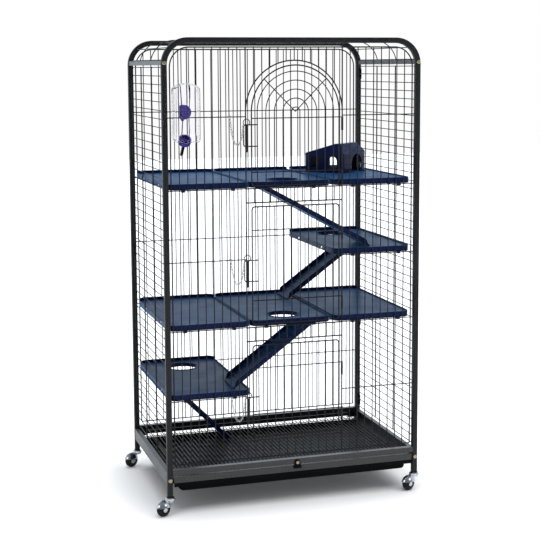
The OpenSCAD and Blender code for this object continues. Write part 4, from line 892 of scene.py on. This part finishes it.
# %% Chains
LINK, LINK_WIRE, LINK_NARROW, LINK_PLAY = 3.3 * MM, 1.4 * MM, 0.86, 0.25 * MM
DROP, SAG, BELLY = 133 * MM, 8 * MM, 3 * MM
EYE_PLAY, EYE_FORWARD, ANCHOR_GAPS = 3.4 * MM, 2.2 * MM, 7
START_GAP, END_ASIDE, END_DOWN, HOOK_OUT, BLEND_IN = 0.3 * MM, 2.95 * MM, 4.75 * MM, 1.1 * MM, 4 * MM
eye_r = WIRE / 2 + EYE_PLAY
anchor_x = mid_x - half_mesh + ANCHOR_GAPS * pitch
eye_y = front_y - EYE_FORWARD


def chain(name, anchor_z, latch_z):
    """Links on a catenary z = low + sqrt(sag^2 + s^2) - sag, at equal steps of its length s.
    The curve's width, sag * asinh(s / sag), is stretched to reach from the eye to the pull ring.
    Low is set so that the drops from both ends add up to DROP."""
    eye_z = anchor_z + WIRE / 2 + LINK_WIRE
    start_z = eye_z - LINK + LINK_WIRE + START_GAP
    slope = math.cos(math.pi / 4)
    end_x = pin_x - ring_r * slope - END_ASIDE
    end_z = latch_z + RING_RISE - ring_r * slope - END_DOWN
    low = (start_z + end_z - DROP) / 2
    s0 = -math.sqrt((start_z - low + SAG) ** 2 - SAG ** 2)
    s1 = math.sqrt((end_z - low + SAG) ** 2 - SAG ** 2)
    step = 2 * LINK - LINK_WIRE - LINK_PLAY
    count = 2 * math.ceil((s1 - s0) / step / 2 - 0.5) + 1
    k = np.arange(count + 1)
    s = s0 + k * (s1 - s0) / count
    width = SAG * np.arcsinh(s / SAG)
    stretch = (end_x - anchor_x) / (width[-1] - width[0])
    x = anchor_x + (width - width[0]) * stretch
    y = eye_y - eye_r + (pin_y - eye_y + eye_r) * k / count - BELLY * np.sin(np.pi * k / count)
    z = low + np.sqrt(SAG ** 2 + s ** 2) - SAG
    lean = np.arctan2(s, SAG * stretch)
    along = np.stack([np.cos(lean), 0 * lean, np.sin(lean)], 1)
    upright = np.stack([-np.sin(lean), 0 * lean, np.cos(lean)], 1)
    aside = np.broadcast_to([0.0, 1.0, 0.0], along.shape)
    second = np.where((k % 2 == 0)[:, None], aside, upright)
    links = torus(np.stack([x, y, z], 1), along, second, (LINK, LINK_NARROW * LINK), LINK_WIRE, 14, 6)
    eye = torus([(anchor_x, eye_y, eye_z)], [(1, 0, 0)], [(0, 1, 0)], eye_r, LINK_WIRE, 32, 8)
    hung = (ring_r + HOOK_OUT) * slope
    last = (pin_x - hung, pin_y, latch_z + RING_RISE - hung)
    hook = torus([last], [(slope, 0, slope)], [(0, 1, 0)], LINK, LINK_WIRE, 24, 8)
    parts, replaced = [eye, links, hook], ["latch_chain_" + name]
    made = piece(f"latch_chain_{name}_links", parts, chain_steel, None, replaced, 60)
    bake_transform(made)


for name, anchor in zip(("top", "middle", "lower"), LEVELS[[4, 2, 0]]):
    chain(name, anchor, LATCHES[name])

# %% [markdown]
# ## Rounded copies
# Sheet and moulded parts keep the shape of the construction exactly, but no real edge is a knife
# edge. Each is copied, its loose triangles are merged back into whole faces, and a Bevel modifier
# rounds the edges by the amount that the process leaves: little on sheet, more on plastic.

# %% Rounded copies of sheet and moulded parts
MERGE_DISTANCE, FLAT_ANGLE, SHARP_ANGLE = 0.00002, math.radians(1.0), math.radians(32)


def rounded(node, material, body, width):
    """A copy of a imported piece, with doubles merged, flat triangles joined and edges rounded."""
    source = frame["nodes"][node].data
    points = np.empty(len(source.vertices) * 3, np.float32)
    source.vertices.foreach_get("co", points)
    corners = np.empty(len(source.loops), np.int32)
    source.loops.foreach_get("vertex_index", corners)
    mesh = bpy.data.meshes.new(node + "_rounded")
    mesh.from_pydata(points.reshape(-1, 3).tolist(), [], corners.reshape(-1, 3).tolist())
    shell = bmesh.new()
    shell.from_mesh(mesh)
    bmesh.ops.remove_doubles(shell, verts=shell.verts, dist=MERGE_DISTANCE)
    bmesh.ops.dissolve_limit(shell, angle_limit=FLAT_ANGLE, verts=shell.verts, edges=shell.edges)
    shell.to_mesh(mesh)
    shell.free()
    mesh.polygons.foreach_set("use_smooth", np.ones(len(mesh.polygons), bool))
    mesh.set_sharp_from_angle(angle=SHARP_ANGLE)
    mesh.materials.append(material)
    made = bpy.data.objects.new(node + "_rounded", mesh)
    bpy.context.scene.collection.objects.link(made)
    edge = made.modifiers.new("Rounded edges", "BEVEL")
    edge.width = width
    edge.segments = 2
    edge.limit_method = "ANGLE"
    edge.angle_limit = SHARP_ANGLE
    edge.harden_normals = True
    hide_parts(node)
    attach(made, body)
    return made


members = frame["record"]["behaviour"]["bodies"]
bodies = {node: body for body in frame["bodies"] for node in members[body]}
FINISHES = [
    (navy_plastic, "navy_plastic", 0.7 * MM, [n for n in bodies if n.startswith(("shelf_", "ramp_"))]),
    (hut_plastic, "navy_plastic", 1.6 * MM, ["hideaway"]),
    (black_plastic, "black_plastic", 0.9 * MM, ["waste_tray", "turn_button"]),
    (black_plastic, "black_plastic", 0.3 * MM, ["panel_hooks", "leg_plugs"]),
    (bar_paint, "hammertone", 0.8 * MM, ["front_crossbar", "rear_crossbar"]),
    (frame_paint, "hammertone", 0.3 * MM, [n for n in bodies if n.endswith("_clips")] + ["latch_barrels"]),
    (rail_paint, "light_grey_steel", 0.5 * MM, ["top_rails", "left_runner", "right_runner"]),
    (bar_paint, "grey_wire", 0.2 * MM, ["floor_grille"]),
    (chrome, "chrome", 0.5 * MM, [n for n in bodies if n.startswith("caster_fork_")]),
    (wheel_plastic, "wheel_black", 0.4 * MM, [n for n in bodies if n.startswith("caster_wheel_")]),
    (screw_zinc, "brass", 0.2 * MM, ["frame_screws"]),
    (violet_plastic, "violet_plastic", 0.8 * MM, ["bottle_clip", "bottle_cap"]),
    (clear_plastic, "clear_plastic", 0.5 * MM, ["bottle_body"]),
    (tube_plastic, "black_plastic", 0.3 * MM, ["sipper_tube"]),
]
for material, slot, width, names in FINISHES:
    for name in names:
        made = rounded(name, material, bodies[name], width)
        print(made.name, len(made.data.polygons), "faces")
